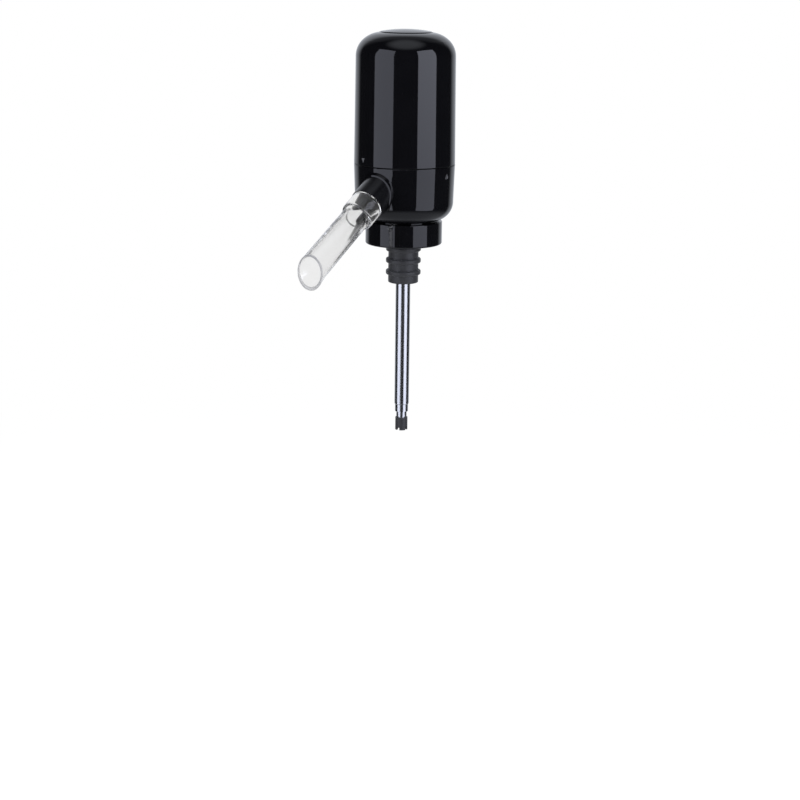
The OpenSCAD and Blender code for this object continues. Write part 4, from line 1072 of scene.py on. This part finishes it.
class AERATOR_OT_tube(bpy.types.Operator):
    """Drawn-steel telescopic tube"""

    bl_idname = "aerator.tube"
    bl_label = "Pick-up tube"

    def execute(self, context):
        material = drawn_steel("Drawn steel", settings("hardware").steel)
        dress(material, "tube_upper", "tube_middle", "tube_lower")
        return {"FINISHED"}


class AERATOR_OT_springs(bpy.types.Operator):
    """Wound springs of the button and the cells"""

    bl_idname = "aerator.springs"
    bl_label = "Springs"

    def execute(self, context):
        hardware = settings("hardware")
        material = plated_metal("Spring wire", hardware.steel)
        tree = coil_tree()
        low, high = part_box("button_spring")
        wire = hardware.button_wire / 2
        mesh = grow(
            tree, "button_coil", [(0.0, 0.0, low.z)],
            Low_radius=high.x - wire, High_radius=high.x - wire, Height=high.z - low.z,
            Wire_radius=wire, Turns=hardware.button_turns, Material=material,
        )
        coil = place_piece("button_coil", mesh, material, "cover", "steel", "button_spring")
        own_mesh(coil)
        self.contact_springs(hardware, tree, material)
        return {"FINISHED"}

    def contact_springs(self, hardware, tree, material):
        """Cone springs, wide end on the contact plates."""
        boxes = islands("battery_springs")
        middle = sum(low.z for low, _ in boxes) / len(boxes)
        ends = hardware.cell_wide, hardware.cell_narrow
        bm = bmesh.new()
        for at_top in (False, True):
            members = [box for box in boxes if (box[0].z > middle) == at_top]
            low, high = members[0]
            bm.from_mesh(grow(
                tree, "contact_coils", [on_middle(box, box[0].z) for box in members],
                Low_radius=ends[at_top], High_radius=ends[not at_top], Height=high.z - low.z,
                Wire_radius=hardware.cell_wire / 2, Turns=hardware.cell_turns, Material=material,
            ))
        mesh = mesh_of(bm, "contact_coils")
        place_piece("contact_coils", mesh, material, "case", "steel", "battery_springs")


class AERATOR_OT_screws(bpy.types.Operator):
    """Pan-head screws with wound threads"""

    bl_idname = "aerator.screws"
    bl_label = "Screws"

    def execute(self, context):
        hardware = settings("hardware")
        material = plated_metal("Plated screws", hardware.steel)
        tree = screw_tree()
        for node, body, head_height, shank_radius, flipped in SCREW_SETS:
            boxes = islands(node)
            seats = [
                on_middle(box, box[1].z - head_height if flipped else box[0].z + head_height)
                for box in boxes
            ]
            low, high = boxes[0]
            mesh = grow(
                tree, node + "_threaded", seats, Shank_radius=shank_radius,
                Shank_length=high.z - low.z - head_height, Head_radius=(high.x - low.x) / 2,
                Head_height=head_height, Pitch=hardware.thread_pitch,
                Flip=math.pi if flipped else 0.0, Material=material,
            )
            smooth_by_angle(mesh)
            place_piece(node + "_threaded", mesh, material, body, "steel", node)
        dress(material, "pump_screws")
        return {"FINISHED"}


class AERATOR_OT_inside(bpy.types.Operator):
    """Finishes of the power pack, the pump and the seals inside the case"""

    bl_idname = "aerator.inside"
    bl_label = "Inner pieces"

    def execute(self, context):
        hardware = settings("hardware")
        dress(
            moulded_plastic("Frame plastic", hardware.frame_grey),
            "button_retainer", "chassis", "battery_cradle", "contact_cap", "switch_body",
            "motor_end_cap",
        )
        dress(
            moulded_plastic("Pump plastic", hardware.pump_white),
            "switch_plunger", "pump_frame", "pump_rocker", "eccentric", "valve_plate", "pump_head",
            "check_valve", "wine_manifold", "middle_bush", "lower_bush",
        )
        dress(
            moulded_silicone("Seal rubber", hardware.rubber),
            "cover_seal", "motor_damper", "pump_diaphragm", "valve_flaps", "socket_o_ring",
            "spout_o_ring", "tube_seal",
        )
        dress(plated_metal("Motor steel", hardware.steel), "motor_can", "motor_shaft", "drive_pin")
        dress(plated_metal("Contact brass", hardware.brass), "contact_plates")
        dress(printed_wrap("Cell wrap", hardware.wrap), "battery_cells")
        dress(moulded_plastic("Solder mask", hardware.board), "switch_board")
        dress(moulded_plastic("Lead insulation", hardware.lead), "motor_leads")
        dress(milky_hose("Hose silicone", hardware.hose), "air_hose_upper", "air_hose_lower")
        return {"FINISHED"}


OPERATORS = (
    AERATOR_OT_stage,
    AERATOR_OT_case,
    AERATOR_OT_spout,
    AERATOR_OT_stopper,
    AERATOR_OT_tube,
    AERATOR_OT_springs,
    AERATOR_OT_screws,
    AERATOR_OT_inside,
)


class AERATOR_PT_panel(bpy.types.Panel):
    """Sidebar list of the aerator's pieces"""

    bl_idname = "AERATOR_PT_panel"
    bl_label = "Wine Aerator"
    bl_space_type = "VIEW_3D"
    bl_region_type = "UI"
    bl_category = "Aerator"

    def draw(self, context):
        for operator in OPERATORS:
            self.layout.operator(operator.bl_idname)


GROUPS = {
    "case": CaseSettings,
    "spout": SpoutSettings,
    "stopper": StopperSettings,
    "hardware": HardwareSettings,
    "stage": StageSettings,
}
CLASSES = (*GROUPS.values(), *OPERATORS, AERATOR_PT_panel)


def register():
    """Registers the settings, the operators and the panel."""
    for cls in CLASSES:
        bpy.utils.register_class(cls)
    for name, group in GROUPS.items():
        setattr(bpy.types.Scene, "aerator_" + name, PointerProperty(type=group))


def unregister():
    """Takes them away again."""
    for name in GROUPS:
        delattr(bpy.types.Scene, "aerator_" + name)
    for cls in reversed(CLASSES):
        bpy.utils.unregister_class(cls)


def main():
    """Registers the add-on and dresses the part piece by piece."""
    register()
    bpy.ops.aerator.stage()
    bpy.ops.aerator.case()
    bpy.ops.aerator.spout()
    bpy.ops.aerator.stopper()
    bpy.ops.aerator.tube()
    bpy.ops.aerator.springs()
    bpy.ops.aerator.screws()
    bpy.ops.aerator.inside()


if __name__ == "__main__":
    main()
